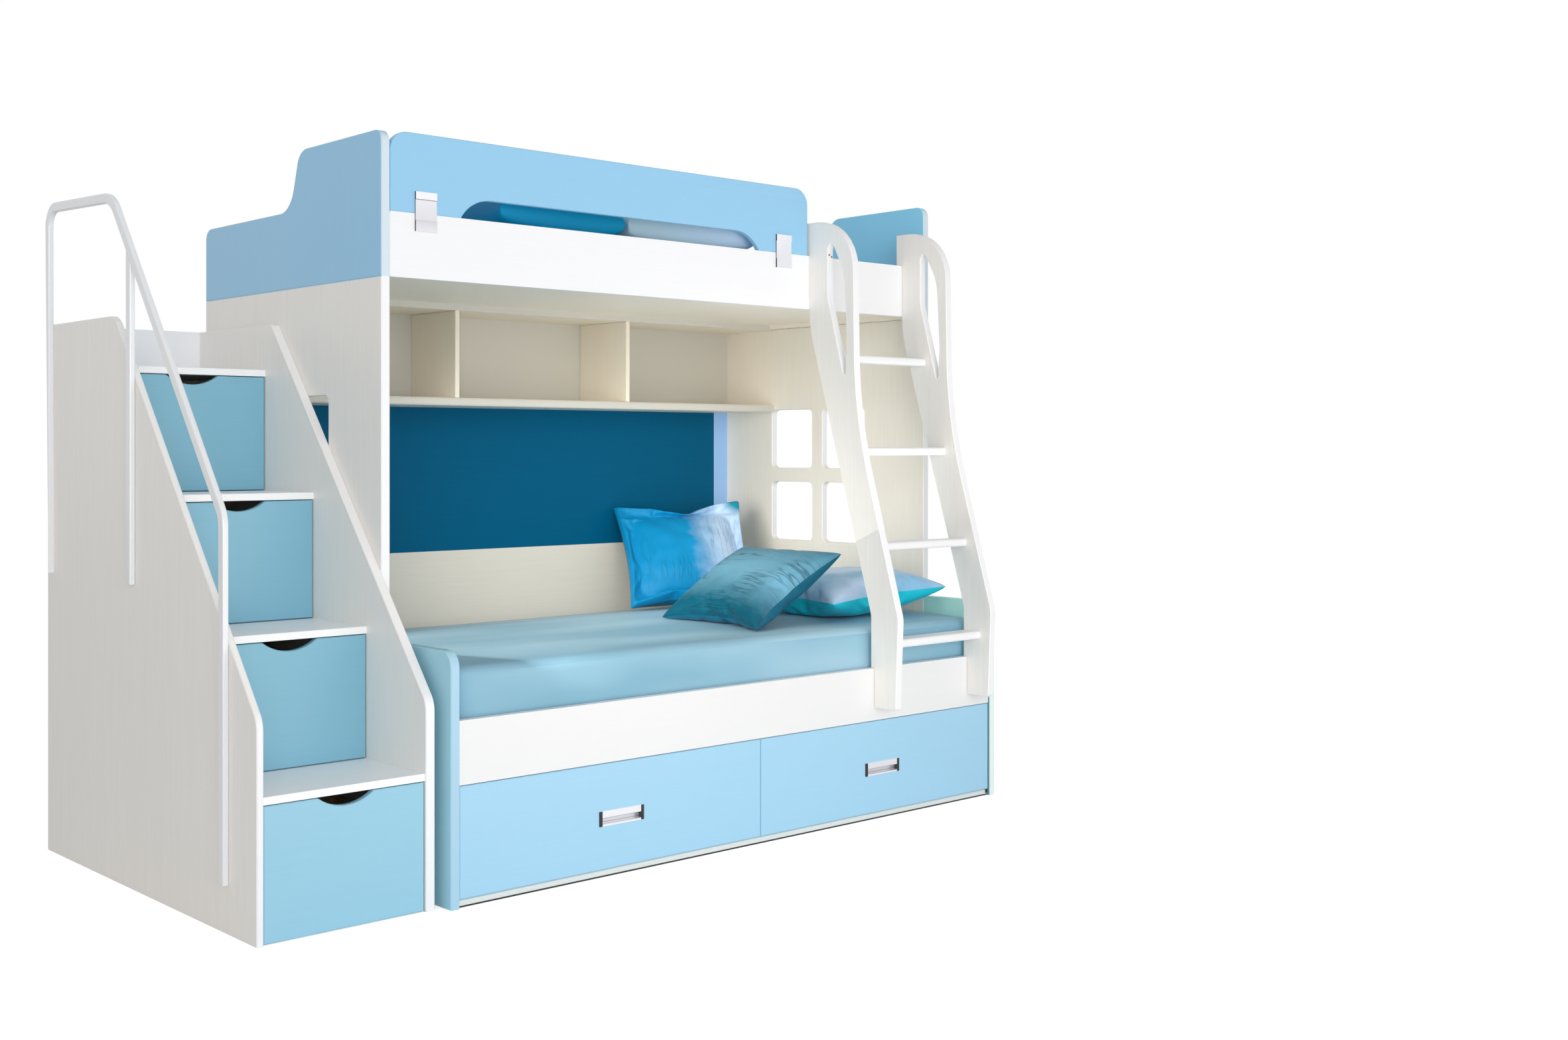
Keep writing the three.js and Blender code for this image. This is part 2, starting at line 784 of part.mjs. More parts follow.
function buildLowerBunk() {
  const bunk = new THREE.Group();
  const front = -lowerFrontDepth;
  const railBack = front + board;
  const railOutline = rectangle(front, railBack, lowerRailBase, lowerRailCrest);
  piece(bunk, "lower_front_rail", acrossX(railOutline, lowerLeft, lowerRight), white);
  piece(bunk, "lower_slat_base", slatBase(railBack, wallInner), birch);
  const cushion = mattress(
    [lowerLeft, lowerRight],
    [railBack, wallInner],
    [slatTop, slatTop + lowerMattressThick],
    mattressFall,
  );
  piece(bunk, "lower_mattress", cushion, linen);

  const dividerX = [drawerSplit - sheet / 2, drawerSplit + sheet / 2];
  const divider = block(dividerX, [railBack, wallInner], [0, slatUnder]);
  piece(bunk, "drawer_divider", divider, white);
  const plinthFront = front + plinthSetback;
  const plinth = rounded([
    [plinthFront, 0],
    [railBack, 0],
    [railBack, plinthHeight],
    [plinthFront, plinthHeight, plinthSetback],
  ]);
  piece(bunk, "plinth_rail", acrossX(plinth, lowerLeft, lowerRight, 0), white);

  const bays = {
    left: { front: [lowerLeft + reveal, drawerSplit - reveal / 2], clear: lowerLeft },
    right: { front: [drawerSplit + reveal / 2, lowerRight - reveal], clear: dividerX[1] },
  };
  for (const [side, bay] of Object.entries(bays)) {
    const [x0, x1] = bay.front;
    piece(bunk, `bed_drawer_front_${side}`, bedDrawerFront(x0, x1, front), sky);
    const clearWidth = (bunkLength - sheet) / 2;
    const tray = trayShell(clearWidth, bedTrayDepth, bedTrayHeight);
    const trayMesh = piece(bunk, `bed_drawer_tray_${side}`, tray, birch);
    trayMesh.position.set(bay.clear, front + sheet, plinthHeight + reveal + trayLift);
    piece(bunk, `bed_drawer_pull_${side}`, pullGeometry((x0 + x1) / 2, front), chrome);
  }
  return bunk;
}

// Ladder

// Corners of the stile's grip slot: shares of its width from the front, of its height, and of its
// width again for the radius.
const slotShares = [
  [1, 0.94, 0.3],
  [1, 0.6, 1.9],
  [0.1, 0, 0.05],
  [0, 0.27, 3],
  [0.15, 0.76, 2],
  [0.82, 1, 0.15],
];

function stileOutline() {
  const crest = railCrest + stileTop;
  const heel = -lowerFrontDepth + stileHook;
  const outline = rounded([
    [board, railCrest],
    [board, crest],
    [-stileChest, crest, stileShoulder],
    [-stileWaist, stileWaistHeight, stileWaistRadius],
    [-stileKnee, stileKneeHeight, stileKneeRadius],
    [-stileToe, stileBase, stileToeRound],
    [-lowerFrontDepth, stileBase],
    [-lowerFrontDepth, lowerRailCrest],
    [heel, lowerRailCrest],
    [heel, stileBackKnee, stileBackKneeRadius],
    [0, stileBackBend, stileBackRadius],
    [0, railCrest],
  ]);
  const slotFront = -slotBack - slotWidth;
  const slot = slotShares.map(([across, up, round]) => [
    slotFront + across * slotWidth,
    slotBase + up * slotHeight,
    round * slotWidth,
  ]);
  outline.holes.push(rounded(slot, new THREE.Path()));
  return outline;
}

// The rear edge of the stiles at a height on their slanted part, where the rungs end.
function stileBackAt(z) {
  const heel = -lowerFrontDepth + stileHook;
  const share = (z - stileBackKnee) / (stileBackBend - stileBackKnee);
  return Math.max(heel, heel * (1 - share));
}

function buildLadder() {
  const ladder = new THREE.Group();
  const outline = stileOutline();
  ["left", "right"].forEach((side, i) => {
    const start = stileStarts[i];
    piece(ladder, `ladder_stile_${side}`, acrossX(outline, start, start + board), white);
  });
  const x0 = stileStarts[0] + board;
  const section = rectangle(-rungDepth, 0, -rungThick, 0, rungRound);
  for (let i = 0; i < rungCount; i += 1) {
    const top = rungTop - i * rungPitch;
    const rung = acrossX(section, x0, stileStarts[1], 0);
    const mesh = piece(ladder, `ladder_rung_${i + 1}`, rung, white);
    mesh.position.set(0, stileBackAt(top - rungThick) - ease, top);
  }
  return ladder;
}

// Pillows

// A pillow: its cover is fullest in the middle, thins to a seam all round, and its sides draw in
// between the corners.
function pillowGeometry({ length, width, thickness }) {
  const positions = [];
  const index = [];
  const row = pillowSides + 1;
  const layer = (sign) => {
    const first = positions.length / 3;
    for (let j = 0; j < row; j += 1) {
      for (let i = 0; i < row; i += 1) {
        const u = Math.sin(((2 * i) / pillowSides - 1) * (Math.PI / 2));
        const v = Math.sin(((2 * j) / pillowSides - 1) * (Math.PI / 2));
        const rise = ((1 - u * u) * (1 - v * v)) ** crownPower;
        const x = (length / 2) * u * (1 - pinchShare * (1 - v * v));
        const y = (width / 2) * v * (1 - pinchShare * (1 - u * u));
        positions.push(x, y, sign * (thickness / 2) * rise);
      }
    }
    for (let j = 0; j < pillowSides; j += 1) {
      for (let i = 0; i < pillowSides; i += 1) {
        const a = first + j * row + i;
        const [b, c, d] = [a + 1, a + row, a + row + 1];
        if (sign > 0) index.push(a, b, d, a, d, c);
        else index.push(a, d, b, a, c, d);
      }
    }
  };
  layer(1);
  layer(-1);
  const geometry = new THREE.BufferGeometry();
  geometry.setAttribute("position", new THREE.Float32BufferAttribute(positions, 3));
  geometry.setIndex(index);
  const closed = mergeVertices(geometry);
  closed.computeVertexNormals();
  return closed;
}

function buildPillows() {
  const group = new THREE.Group();
  const lowerTop = slatTop + lowerMattressThick;
  const crestAt = wallInner - mattressPlay - mattressFallRun;
  const beds = {
    false: {
      x: lowerLeft,
      y: -lowerFrontDepth + board,
      topAt: (y) => lowerTop - (mattressFall * Math.max(0, y - crestAt)) / mattressFallRun,
    },
    true: { x: leftInner, y: board, topAt: () => baseBoardTop + upperMattressThick },
  };
  for (const pillow of pillows) {
    const { name, shares, lean, upper, tint } = pillow;
    const bed = beds[upper];
    const mesh = piece(group, name, pillowGeometry(pillow), { color: tint, roughness: 0.6 });
    mesh.rotation.set(...lean.map(THREE.MathUtils.degToRad));
    const x = bed.x + shares[0] * (lowerRight - bed.x);
    const y = bed.y + shares[1] * (wallInner - bed.y);
    mesh.position.set(x, y, 0);
    mesh.updateMatrixWorld();
    const spot = new THREE.Vector3();
    const vertices = mesh.geometry.attributes.position;
    const lifts = Array.from({ length: vertices.count }, (_, i) => {
      spot.fromBufferAttribute(vertices, i).applyMatrix4(mesh.matrixWorld);
      return bed.topAt(spot.y) - spot.z;
    });
    mesh.position.z = Math.max(...lifts) + softGap;
  }
  return group;
}

const bed = new THREE.Group();
bed.add(buildStairs());
bed.add(buildEnds());
bed.add(buildUpperBunk());
bed.add(buildWallSide());
bed.add(buildLowerBunk());
bed.add(buildLadder());
bed.add(buildPillows());
bed.updateMatrixWorld(true);

// The part's origin is on the floor, under the middle of its box.
const middle = new THREE.Box3().setFromObject(bed, true).getCenter(new THREE.Vector3());
bed.position.set(-middle.x, -middle.y, 0);

const bunkBed = new THREE.Group();
bunkBed.add(bed);

export default bunkBed;
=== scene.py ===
# %% [markdown]
# A bunk bed with a stair cabinet, dressed for a photograph.
# The boards, drawers, ladder and handrail come from a CAD model in metres, with +X along the bed
# away from the stairs, +Y towards the wall and +Z up. They keep their shapes and get finishes here.
# The soft goods and the small metal and plastic parts are modelled in this file.

import math

import bmesh
import bpy
from mathutils import Matrix, Vector, noise


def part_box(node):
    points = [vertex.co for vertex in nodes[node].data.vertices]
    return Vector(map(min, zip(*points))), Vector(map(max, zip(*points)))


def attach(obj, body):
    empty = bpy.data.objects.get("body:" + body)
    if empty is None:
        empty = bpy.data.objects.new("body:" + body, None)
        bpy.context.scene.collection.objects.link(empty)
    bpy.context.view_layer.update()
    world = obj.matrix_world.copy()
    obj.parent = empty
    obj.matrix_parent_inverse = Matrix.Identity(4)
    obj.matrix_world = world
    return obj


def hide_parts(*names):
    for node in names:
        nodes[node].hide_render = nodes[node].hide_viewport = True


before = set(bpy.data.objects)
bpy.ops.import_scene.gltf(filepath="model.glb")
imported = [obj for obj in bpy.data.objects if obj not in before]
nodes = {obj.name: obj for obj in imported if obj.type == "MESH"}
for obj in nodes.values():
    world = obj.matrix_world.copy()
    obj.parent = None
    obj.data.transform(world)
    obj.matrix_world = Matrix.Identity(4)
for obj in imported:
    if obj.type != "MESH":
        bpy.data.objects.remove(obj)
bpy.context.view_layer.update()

MM = 0.001

# %% [markdown]
# The photograph looks along the bed from the stair end, level, with the horizon above the middle
# of the picture. A camera could be tipped down to frame the bed, but then upright boards would
# lean together. A level camera keeps them upright, and the lens shift brings the horizon to its
# row. The numbers come from fitting a camera to the bed's own edges.

# %% Camera
PICTURE_WIDTH = 2363
PICTURE_HEIGHT = 1568
HORIZON_ROW = 677.7
FOCAL_PIXELS = 2550.1
SENSOR = 36.0
CAMERA_PLACE = Vector((-2.84675, -3.96784, 1.06863))
CAMERA_TURN = math.radians(43.074)

camera_data = bpy.data.cameras.new("camera")
camera_data.sensor_width = SENSOR
camera_data.lens = SENSOR * FOCAL_PIXELS / PICTURE_WIDTH
camera_data.shift_y = (HORIZON_ROW - PICTURE_HEIGHT / 2) / PICTURE_WIDTH
camera = bpy.data.objects.new("camera", camera_data)
camera.location = CAMERA_PLACE
camera.rotation_euler = (math.pi / 2, 0, -CAMERA_TURN)
bpy.context.collection.objects.link(camera)
bpy.context.scene.camera = camera
bpy.context.scene.view_settings.view_transform = "Standard"
print("camera: lens", round(camera_data.lens, 2), "mm, shift", round(camera_data.shift_y, 4))

# %% [markdown]
# Shader maths reads best as expressions. A small class wraps one socket and turns +, -, * and /
# into Math nodes. A plain number may stand on either side, so each operator has a reflected form.


# %% Sockets with arithmetic
class Value:
    """One output socket, with arithmetic that adds Math nodes."""

    def __init__(self, net, socket):
        self.net = net
        self.socket = socket

    def _math(self, operation, first, second):
        return self.net.node("ShaderNodeMath", {"operation": operation}, {0: first, 1: second})

    def __add__(self, other):
        return self._math("ADD", self, other)

    def __radd__(self, other):
        return self._math("ADD", other, self)

    def __sub__(self, other):
        return self._math("SUBTRACT", self, other)

    def __rsub__(self, other):
        return self._math("SUBTRACT", other, self)

    def __mul__(self, other):
        return self._math("MULTIPLY", self, other)

    def __rmul__(self, other):
        return self._math("MULTIPLY", other, self)

    def __truediv__(self, other):
        return self._math("DIVIDE", self, other)

    def __rtruediv__(self, other):
        return self._math("DIVIDE", other, self)


print("sockets add, subtract, multiply and divide")

# %% [markdown]
# Every node comes from one method. It takes the kind of node, its settings, and the values or links
# of its sockets, and it serves the sky and the materials alike.


# %% Node trees
class Net:
    """A node tree with one way to add a node."""

    def __init__(self, tree):
        self.tree = tree

    def feed(self, socket, value):
        """Puts a number, a colour or a link into one socket."""
        if isinstance(value, Value):
            self.tree.links.new(value.socket, socket)
        elif isinstance(value, tuple) and len(value) == 3 and len(socket.default_value) == 4:
            socket.default_value = (*value, 1)
        else:
            socket.default_value = value

    def node(self, kind, settings=None, inputs=None, output=0):
        """Adds a node: its settings first, then its sockets by label or number."""
        made = self.tree.nodes.new(kind)
        for label, value in (settings or {}).items():
            if label == "stops":
                self._stops(made.color_ramp, value)
            else:
                setattr(made, label, value)
        for label, value in (inputs or {}).items():
            self.feed(made.inputs[label], value)
        return Value(self, made.outputs[output])

    def _stops(self, ramp, stops):
        while len(ramp.elements) < len(stops):
            ramp.elements.new(1)
        for element, (place, tone) in zip(ramp.elements, stops):
            element.position = place
            element.color = (tone, tone, tone, 1)


print("node trees ready")

# %% [markdown]
# A finish is a material with its Principled shader. It offers the few patterns that the bed's
# finishes share: noise, ramps, mixes, the height on a piece and the side that a face looks to.
# Colours are mixed with Mix nodes, since a Math node would turn them grey.

# %% Finishes
FACING_STOPS = [(0.5, 0.0), (0.9, 1.0)]
MIX_FACTOR, MIX_FIRST, MIX_SECOND, MIX_COLOUR = 0, 6, 7, 2  # sockets of a Mix node for colours


class Finish(Net):
    """A material and its Principled shader, built socket by socket."""

    def __init__(self, name, **sockets):
        self.material = bpy.data.materials.new(name)
        self.material.use_nodes = True
        super().__init__(self.material.node_tree)
        self.shader = self.tree.nodes["Principled BSDF"]
        for label, value in sockets.items():
            self.set(label.replace("_", " "), value)

    def set(self, label, value):
        """Sets one socket of the shader."""
        self.feed(self.shader.inputs[label], value)

    def place(self, output="Object"):
        """The point being shaded, on the object or in its UV map."""
        return self.node("ShaderNodeTexCoord", output=output)

    def part(self, vector, axis):
        """One coordinate of a vector."""
        return self.node("ShaderNodeSeparateXYZ", inputs={"Vector": vector}, output=axis)

    def scaled(self, vector, scale, turn=(0, 0, 0)):
        inputs = {"Vector": vector, "Scale": scale, "Rotation": turn}
        return self.node("ShaderNodeMapping", inputs=inputs)

    def noise(self, vector, scale=1.0, detail=3, roughness=0.5):
        inputs = {"Vector": vector, "Scale": scale, "Detail": detail, "Roughness": roughness}
        return self.node("ShaderNodeTexNoise", inputs=inputs)

    def ramp(self, value, stops):
        return self.node("ShaderNodeValToRGB", {"stops": stops}, {"Fac": value})

    def mix(self, factor, first, second):
        """A blend of two colours."""
        settings = {"data_type": "RGBA", "clamp_factor": True}
        inputs = {MIX_FACTOR: factor, MIX_FIRST: first, MIX_SECOND: second}
        return self.node("ShaderNodeMix", settings, inputs, MIX_COLOUR)

    def height_share(self, piece):
        """Height on a CAD piece, from 0 at its foot to 1 at its top."""
        low = min(corner[2] for corner in piece.bound_box)
        high = max(corner[2] for corner in piece.bound_box)
        return (self.part(self.place(), "Z") - low) / (high - low)

    def facing(self, axis):
        """1 on faces that look down the axis, as the front does along y, and 0 on the others."""
        normal = self.node("ShaderNodeNewGeometry", output="Normal")
        return self.ramp(self.part(normal, axis) * -1, FACING_STOPS)

    def roughen(self, pattern, least, swing):
        """Roughness that rises from its least value with a pattern."""
        self.set("Roughness", least + pattern * swing)

    def bump(self, height, distance, strength):
        inputs = {"Height": height, "Distance": distance, "Strength": strength}
        self.set("Normal", self.node("ShaderNodeBump", inputs=inputs))


def srgb(red, green, blue):
    """A colour read off a screen, 0 to 255, as the shader's linear colour."""

    def linear(tone):
        share = tone / 255
        return share / 12.92 if share <= 0.04045 else ((share + 0.055) / 1.055) ** 2.4

    return (linear(red), linear(green), linear(blue))


def tinted(colour, factor):
    return tuple(min(1.0, tone * factor) for tone in colour)


print("finishes ready; middle grey is", round(srgb(128, 128, 128)[0], 3), "in linear light")

# %% [markdown]
# The room is a white studio. Its floor melts into a white background and keeps a soft shadow. More
# light would whiten both, but would wash the bed out too. So the floor glows for the camera only,
# and the sky is white for the camera and for reflections but lights the bed half as much.

# %% Floor and sky
FLOOR_SIZE = 60.0
FLOOR_DROP = MM / 2
FLOOR_TONE = (0.9, 0.9, 0.9)
FLOOR_GLOW = 0.6
SKY_STRENGTH = 0.5

floor_mesh = bmesh.new()
bmesh.ops.create_grid(floor_mesh, x_segments=1, y_segments=1, size=FLOOR_SIZE / 2)
floor_data = bpy.data.meshes.new("floor")
floor_mesh.to_mesh(floor_data)
floor_mesh.free()
floor = bpy.data.objects.new("floor", floor_data)
bpy.context.collection.objects.link(floor)
floor.location.z = -FLOOR_DROP

ground = Finish("studio_floor", Base_Color=FLOOR_TONE, Roughness=0.9)
seen = ground.node("ShaderNodeLightPath", output="Is Camera Ray")
ground.set("Emission Color", (1, 1, 1))
ground.set("Emission Strength", seen * FLOOR_GLOW)
floor_data.materials.append(ground.material)

world = bpy.data.worlds.new("studio")
bpy.context.scene.world = world
world.use_nodes = True
sky = Net(world.node_tree)
to_camera = sky.node("ShaderNodeLightPath", output="Is Camera Ray")
to_gloss = sky.node("ShaderNodeLightPath", output="Is Glossy Ray")
shown = sky.node("ShaderNodeMath", {"operation": "MAXIMUM"}, {0: to_camera, 1: to_gloss})
background = world.node_tree.nodes["Background"]
sky.feed(background.inputs["Color"], (1, 1, 1))
sky.feed(background.inputs["Strength"], SKY_STRENGTH + shown * (1 - SKY_STRENGTH))
print("floor", FLOOR_SIZE, "m wide, sky", SKY_STRENGTH)

# %% [markdown]
# A wide soft lamp at the camera's side makes the fronts brighter than the ends and reaches into the
# bunk. A weak fill opens the stair end. A warm card lamp low in front of the bed throws light up,
# as a pale floor does. Inside the lower bunk two small lamps open up the shade: one at the foot end
# looks along the mattress, and one over it looks up at the bunk above. All are wide squares, since
# small lamps draw hard shadows, and the camera sees none of them.

# %% Lamps
BED_MIDDLE = (0, 0, 0.9)
ALL_ROUND = 180
# Place, aim, side in metres, power in watts, tint, and spread in degrees.
LAMPS = {
    "key_lamp": ((-4.8, -10.6, 2.0), BED_MIDDLE, 6.0, 478, (0.985, 0.99, 1.0), ALL_ROUND),
    "fill_lamp": ((-5.5, -3.5, 2.4), BED_MIDDLE, 3.5, 16, (1.0, 0.97, 0.93), ALL_ROUND),
    "card_lamp": ((0.1, -2.3, 0.3), (0.0, 0.2, 1.6), 2.2, 22, (1.0, 0.95, 0.87), ALL_ROUND),
    "bunk_lamp": ((-0.5, -0.22, 0.95), (1.2, 0.35, 0.42), 0.8, 3.4, (1.0, 0.95, 0.88), 72),
    "glow_lamp": ((0.62, -0.3, 0.72), (0.66, 0.1, 1.7), 0.9, 1.9, (1.0, 0.95, 0.88), 120),
}

for name, (place, aim, size, power, tint, spread) in LAMPS.items():
    lamp = bpy.data.lights.new(name, "AREA")
    lamp.shape = "SQUARE"
    lamp.size = size
    lamp.energy = power
    lamp.color = tint
    lamp.spread = math.radians(spread)
    holder = bpy.data.objects.new(name, lamp)
    holder.location = place
    holder.rotation_euler = (Vector(aim) - Vector(place)).to_track_quat("-Z", "Y").to_euler()
    holder.visible_camera = False
    bpy.context.collection.objects.link(holder)
    print(name, power, "W")

# %% [markdown]
# The boards are chipboard in a satin melamine face. The white ones carry a very fine grain that
# runs up the end boards and along the rails. A picture of wood could be wrapped round them, but
# stretched noise fits every board and has no seams. The same noise tints the colour by a hair,
# roughens the sheen and lifts the surface by a few hundredths of a millimetre.

# %% Board finish
LACQUER_IOR = 1.46
GRAIN_FINE = 320.0
GRAIN_LONG = 5.0
GRAIN_STOPS = [(0.35, 0.0), (0.65, 1.0)]
GRAIN_LIFT = 0.06 * MM
GRAIN_GLOSS = 0.06
CLOUD_SCALE = 2.2
CLOUD_SHARE = 0.3
CLOUD_TINT = 0.96
CLOUD_GLOSS = 0.04
GLOSS_SWING = 0.05
FOOT_BLUR = 0.02


def board_finish(
    name, colour, grain_along, grain=0.03, roughness=0.36, gloss=0.5, front=None, foot=None
):
    """A satin board with its grain along x, y or z. Its front may take another colour, the edge
    band on the blue and green boards and painted light and shade on the white and cream ones, and
    its foot may be painted darker as shade.
    """
    paint = Finish(name, IOR=LACQUER_IOR, Specular_IOR_Level=gloss)
    scale = [GRAIN_FINE] * 3
    scale["xyz".index(grain_along)] = GRAIN_LONG
    fibres = paint.noise(paint.scaled(paint.place(), scale), detail=4, roughness=0.6)
    cloud = paint.noise(paint.place(), CLOUD_SCALE, detail=2)
    streak = paint.ramp(fibres, GRAIN_STOPS)
    grained = paint.mix(streak, tinted(colour, 1 - grain), tinted(colour, 1 + grain))
    shade = paint.mix(cloud * CLOUD_SHARE, grained, tinted(colour, CLOUD_TINT))
    # A foot colour is painted shade.
    if foot:
        piece, share, foot_colour = foot
        low_part = paint.ramp(paint.height_share(piece), [(share - FOOT_BLUR, 1.0), (share, 0.0)])
        shade = paint.mix(low_part, shade, foot_colour)
    # A front colour is the edge band on the blue and green boards and painted light and shade on
    # the white and cream ones.
    if front:
        shade = paint.mix(paint.facing("Y"), shade, front)
    paint.set("Base Color", shade)
    paint.set("Roughness", roughness - GLOSS_SWING + fibres * GRAIN_GLOSS + cloud * CLOUD_GLOSS)
    paint.bump(fibres, distance=GRAIN_LIFT, strength=0.5)
    return paint.material


print("board finish ready")

# %% [markdown]
# The white boards are one white melamine, painted in several tones for the light that falls on
# them. The rails, rungs and the fronts of the uprights are painted a brighter, cooler white as lit
# faces, and the treads brighter still. The right end's inner board is painted warmer, as bounce
# light in the bunk, and the back rail darker and warmer, as shade. The lower front rail is a hair
# greyer and the plinth a darker, greener white. The shelves are cream. The board under the upper
# bunk is painted a brighter cream than they are, as light, and the shelves' front edges darker, as
# shade.

# %% White and cream boards
WHITE = srgb(243, 240, 235)
# painted light: a brighter, cooler white for lit fronts, rails and rungs
WHITE_LIT = srgb(245, 246, 249)
LOWER_WHITE = srgb(237, 238, 239)
PLINTH_WHITE = srgb(224, 230, 228)
# painted light: the treads' white is brighter than the other whites
TREAD_WHITE_PAINTED_BRIGHT = srgb(252, 253, 254)
CREAM = srgb(242, 234, 218)
# painted shade: the cream shelves' lit front edges are darker
CREAM_FRONT_PAINTED_SHADE = srgb(208, 206, 198)
# painted bounce light: the right end's white is warmer inside the bunk
END_WHITE_PAINTED_WARM = srgb(244, 238, 226)
# painted shade: the back rail's white is darker and warmer
RAIL_WHITE_PAINTED_SHADE = srgb(226, 219, 207)
# painted light: the board under the upper bunk is a brighter cream than the shelves
SOFFIT_CREAM_PAINTED_BRIGHT = srgb(252, 242, 226)
MATT = {"grain": 0.02, "roughness": 0.42}

white_upright = board_finish("white_board_upright", WHITE, "z", front=WHITE_LIT)
white_level = board_finish("white_board_level", WHITE_LIT, "x", grain=0.008)
lower_level = board_finish("lower_rail_board", LOWER_WHITE, "x", grain=0.008)
plinth_level = board_finish("plinth_board", PLINTH_WHITE, "x", grain=0.015)
tread_level = board_finish("tread_board", TREAD_WHITE_PAINTED_BRIGHT, "x", grain=0.01, roughness=0.42)
end_upright = board_finish("right_end_board", END_WHITE_PAINTED_WARM, "z", front=WHITE_LIT)
rail_level = board_finish("back_rail_board", RAIL_WHITE_PAINTED_SHADE, "x", **MATT)
cream_level = board_finish("cream_board_level", CREAM, "x", front=CREAM_FRONT_PAINTED_SHADE, **MATT)
cream_upright = board_finish("cream_board_upright", CREAM, "z", **MATT)
soffit_level = board_finish("soffit_board", SOFFIT_CREAM_PAINTED_BRIGHT, "x", **MATT)
print("white and cream board finishes: ten")

# %% [markdown]
# The painted boards are smoother than the white ones, so their grain is faint. The ends, guard and
# drawers have blues of their own, and the end boards have pale edge bands at the front. The stair
# drawers are painted a darker, more teal copy of the drawer blue, as shade where they are recessed
# in the stairs, and the lowest one a lighter copy, as it catches more light. The sea green wing is
# painted darker beside the mattress, as shade where little light comes.

# %% Blue and green boards
SKY_BLUE = srgb(152, 205, 238)
DRAWER_BLUE = srgb(166, 213, 240)
# painted shade: the stair drawers are darker than the bed drawers, the lowest one less so
STAIR_BLUE_PAINTED_SHADE = srgb(130, 186, 209)
STEP_BLUE_LESS_SHADE = srgb(153, 205, 228)
FOOT_BLUE = srgb(170, 220, 238)
FOOT_FRONT = srgb(172, 210, 233)
HEAD_BLUE = srgb(146, 220, 252)
PALE_BLUE = srgb(156, 198, 246)
PALE_EDGE = srgb(214, 230, 238)
DEEP_BLUE = srgb(0, 90, 127)
SEA_GREEN = srgb(200, 250, 240)
MINT_EDGE = srgb(236, 250, 250)
WING_SHADE = srgb(96, 158, 160)
WING_FOOT = 0.52
PAINTED = {"grain": 0.012, "roughness": 0.34}

sky_level = board_finish("sky_board_level", SKY_BLUE, "x", **PAINTED)
sky_edged = board_finish("sky_board_edged", SKY_BLUE, "z", front=PALE_EDGE, **PAINTED)
head_edged = board_finish("head_board_edged", HEAD_BLUE, "z", front=PALE_EDGE, **PAINTED)
foot_upright = board_finish("foot_board", FOOT_BLUE, "z", front=FOOT_FRONT, **PAINTED)
drawer_level = board_finish("drawer_board", DRAWER_BLUE, "x", **PAINTED)
stair_level = board_finish("stair_drawer_board", STAIR_BLUE_PAINTED_SHADE, "x", **PAINTED)
step_level = board_finish("first_drawer_board", STEP_BLUE_LESS_SHADE, "x", **PAINTED)
pale_upright = board_finish("pale_board_upright", PALE_BLUE, "z", grain=0.012)
deep_level = board_finish("deep_blue_board", DEEP_BLUE, "x", roughness=0.4, gloss=0.08)
wing_foot = (nodes["head_wing"], WING_FOOT, WING_SHADE)
wing_upright = board_finish(
    "sea_green_board", SEA_GREEN, "z", front=MINT_EDGE, foot=wing_foot, **PAINTED
)
print("blue and green board finishes: ten")

# %% [markdown]
# The drawer trays and the slatted base are lacquered plywood. Its plies could be modelled as thin
# layers, but they show only as streaks. Two stretched noises draw the fibres and the broader
# rings, and both feed one ramp from dark to light birch.

# %% Plywood
BIRCH_LIGHT = srgb(226, 205, 168)
BIRCH_DARK = srgb(196, 168, 126)
FIBRE_SCALE = (14, 14, 160)
RING_SCALE = (3, 3, 26)
FIBRE_SHARE = 0.6
BIRCH_STOPS = [(0.4, 0.0), (0.6, 1.0)]


def birch_finish():
    wood = Finish("birch_plywood", IOR=LACQUER_IOR, Coat_Weight=0.15, Coat_Roughness=0.3)
    fibres = wood.noise(wood.scaled(wood.place(), FIBRE_SCALE), detail=5, roughness=0.6)
    rings = wood.noise(wood.scaled(wood.place(), RING_SCALE), detail=2)
    drawn = fibres * FIBRE_SHARE + rings * (1 - FIBRE_SHARE)
    streak = wood.ramp(drawn, BIRCH_STOPS)
    wood.set("Base Color", wood.mix(streak, BIRCH_DARK, BIRCH_LIGHT))
    wood.roughen(fibres, least=0.42, swing=0.16)
    wood.bump(fibres, distance=0.12 * MM, strength=0.6)
    return wood.material


birch = birch_finish()
print("plywood:", birch.name)

# %% [markdown]
# The handrail is steel tube in white powder coat, which sets to a fine orange peel under a gloss.
# Real dimples would need millions of faces, so a fine noise makes them as bump, and a coat layer
# lays the gloss over them.

# %% Powder coat
TUBE_WHITE = srgb(238, 240, 242)
PEEL_SCALE = 900
COAT_CLOUD_SCALE = 6
COAT_CLOUD_SHARE = 0.5


def powder_coat():
    coat = Finish("powder_coated_tube", IOR=1.5, Coat_Weight=0.3, Coat_Roughness=0.15)
    peel = coat.noise(coat.place(), PEEL_SCALE, detail=2)
    cloud = coat.noise(coat.place(), COAT_CLOUD_SCALE, detail=2)
    shade = coat.mix(cloud * COAT_CLOUD_SHARE, TUBE_WHITE, tinted(TUBE_WHITE, CLOUD_TINT))
    coat.set("Base Color", shade)
    coat.roughen(peel, least=0.26, swing=0.08)
    coat.bump(peel, distance=0.05 * MM, strength=0.5)
    return coat.material


tube_white = powder_coat()
print("handrail:", tube_white.name)

# %% [markdown]
# The guard clips and drawer pulls are folded from bright metal, and each fold mirrors another part
# of a room. A full room could be built for them to mirror, but in this white one they would look
# blank. So a ramp over the piece's height paints the bands as reflections and shade, its end faces
# are painted dark as shade, and a fine brushed noise along the piece breaks up the gloss.

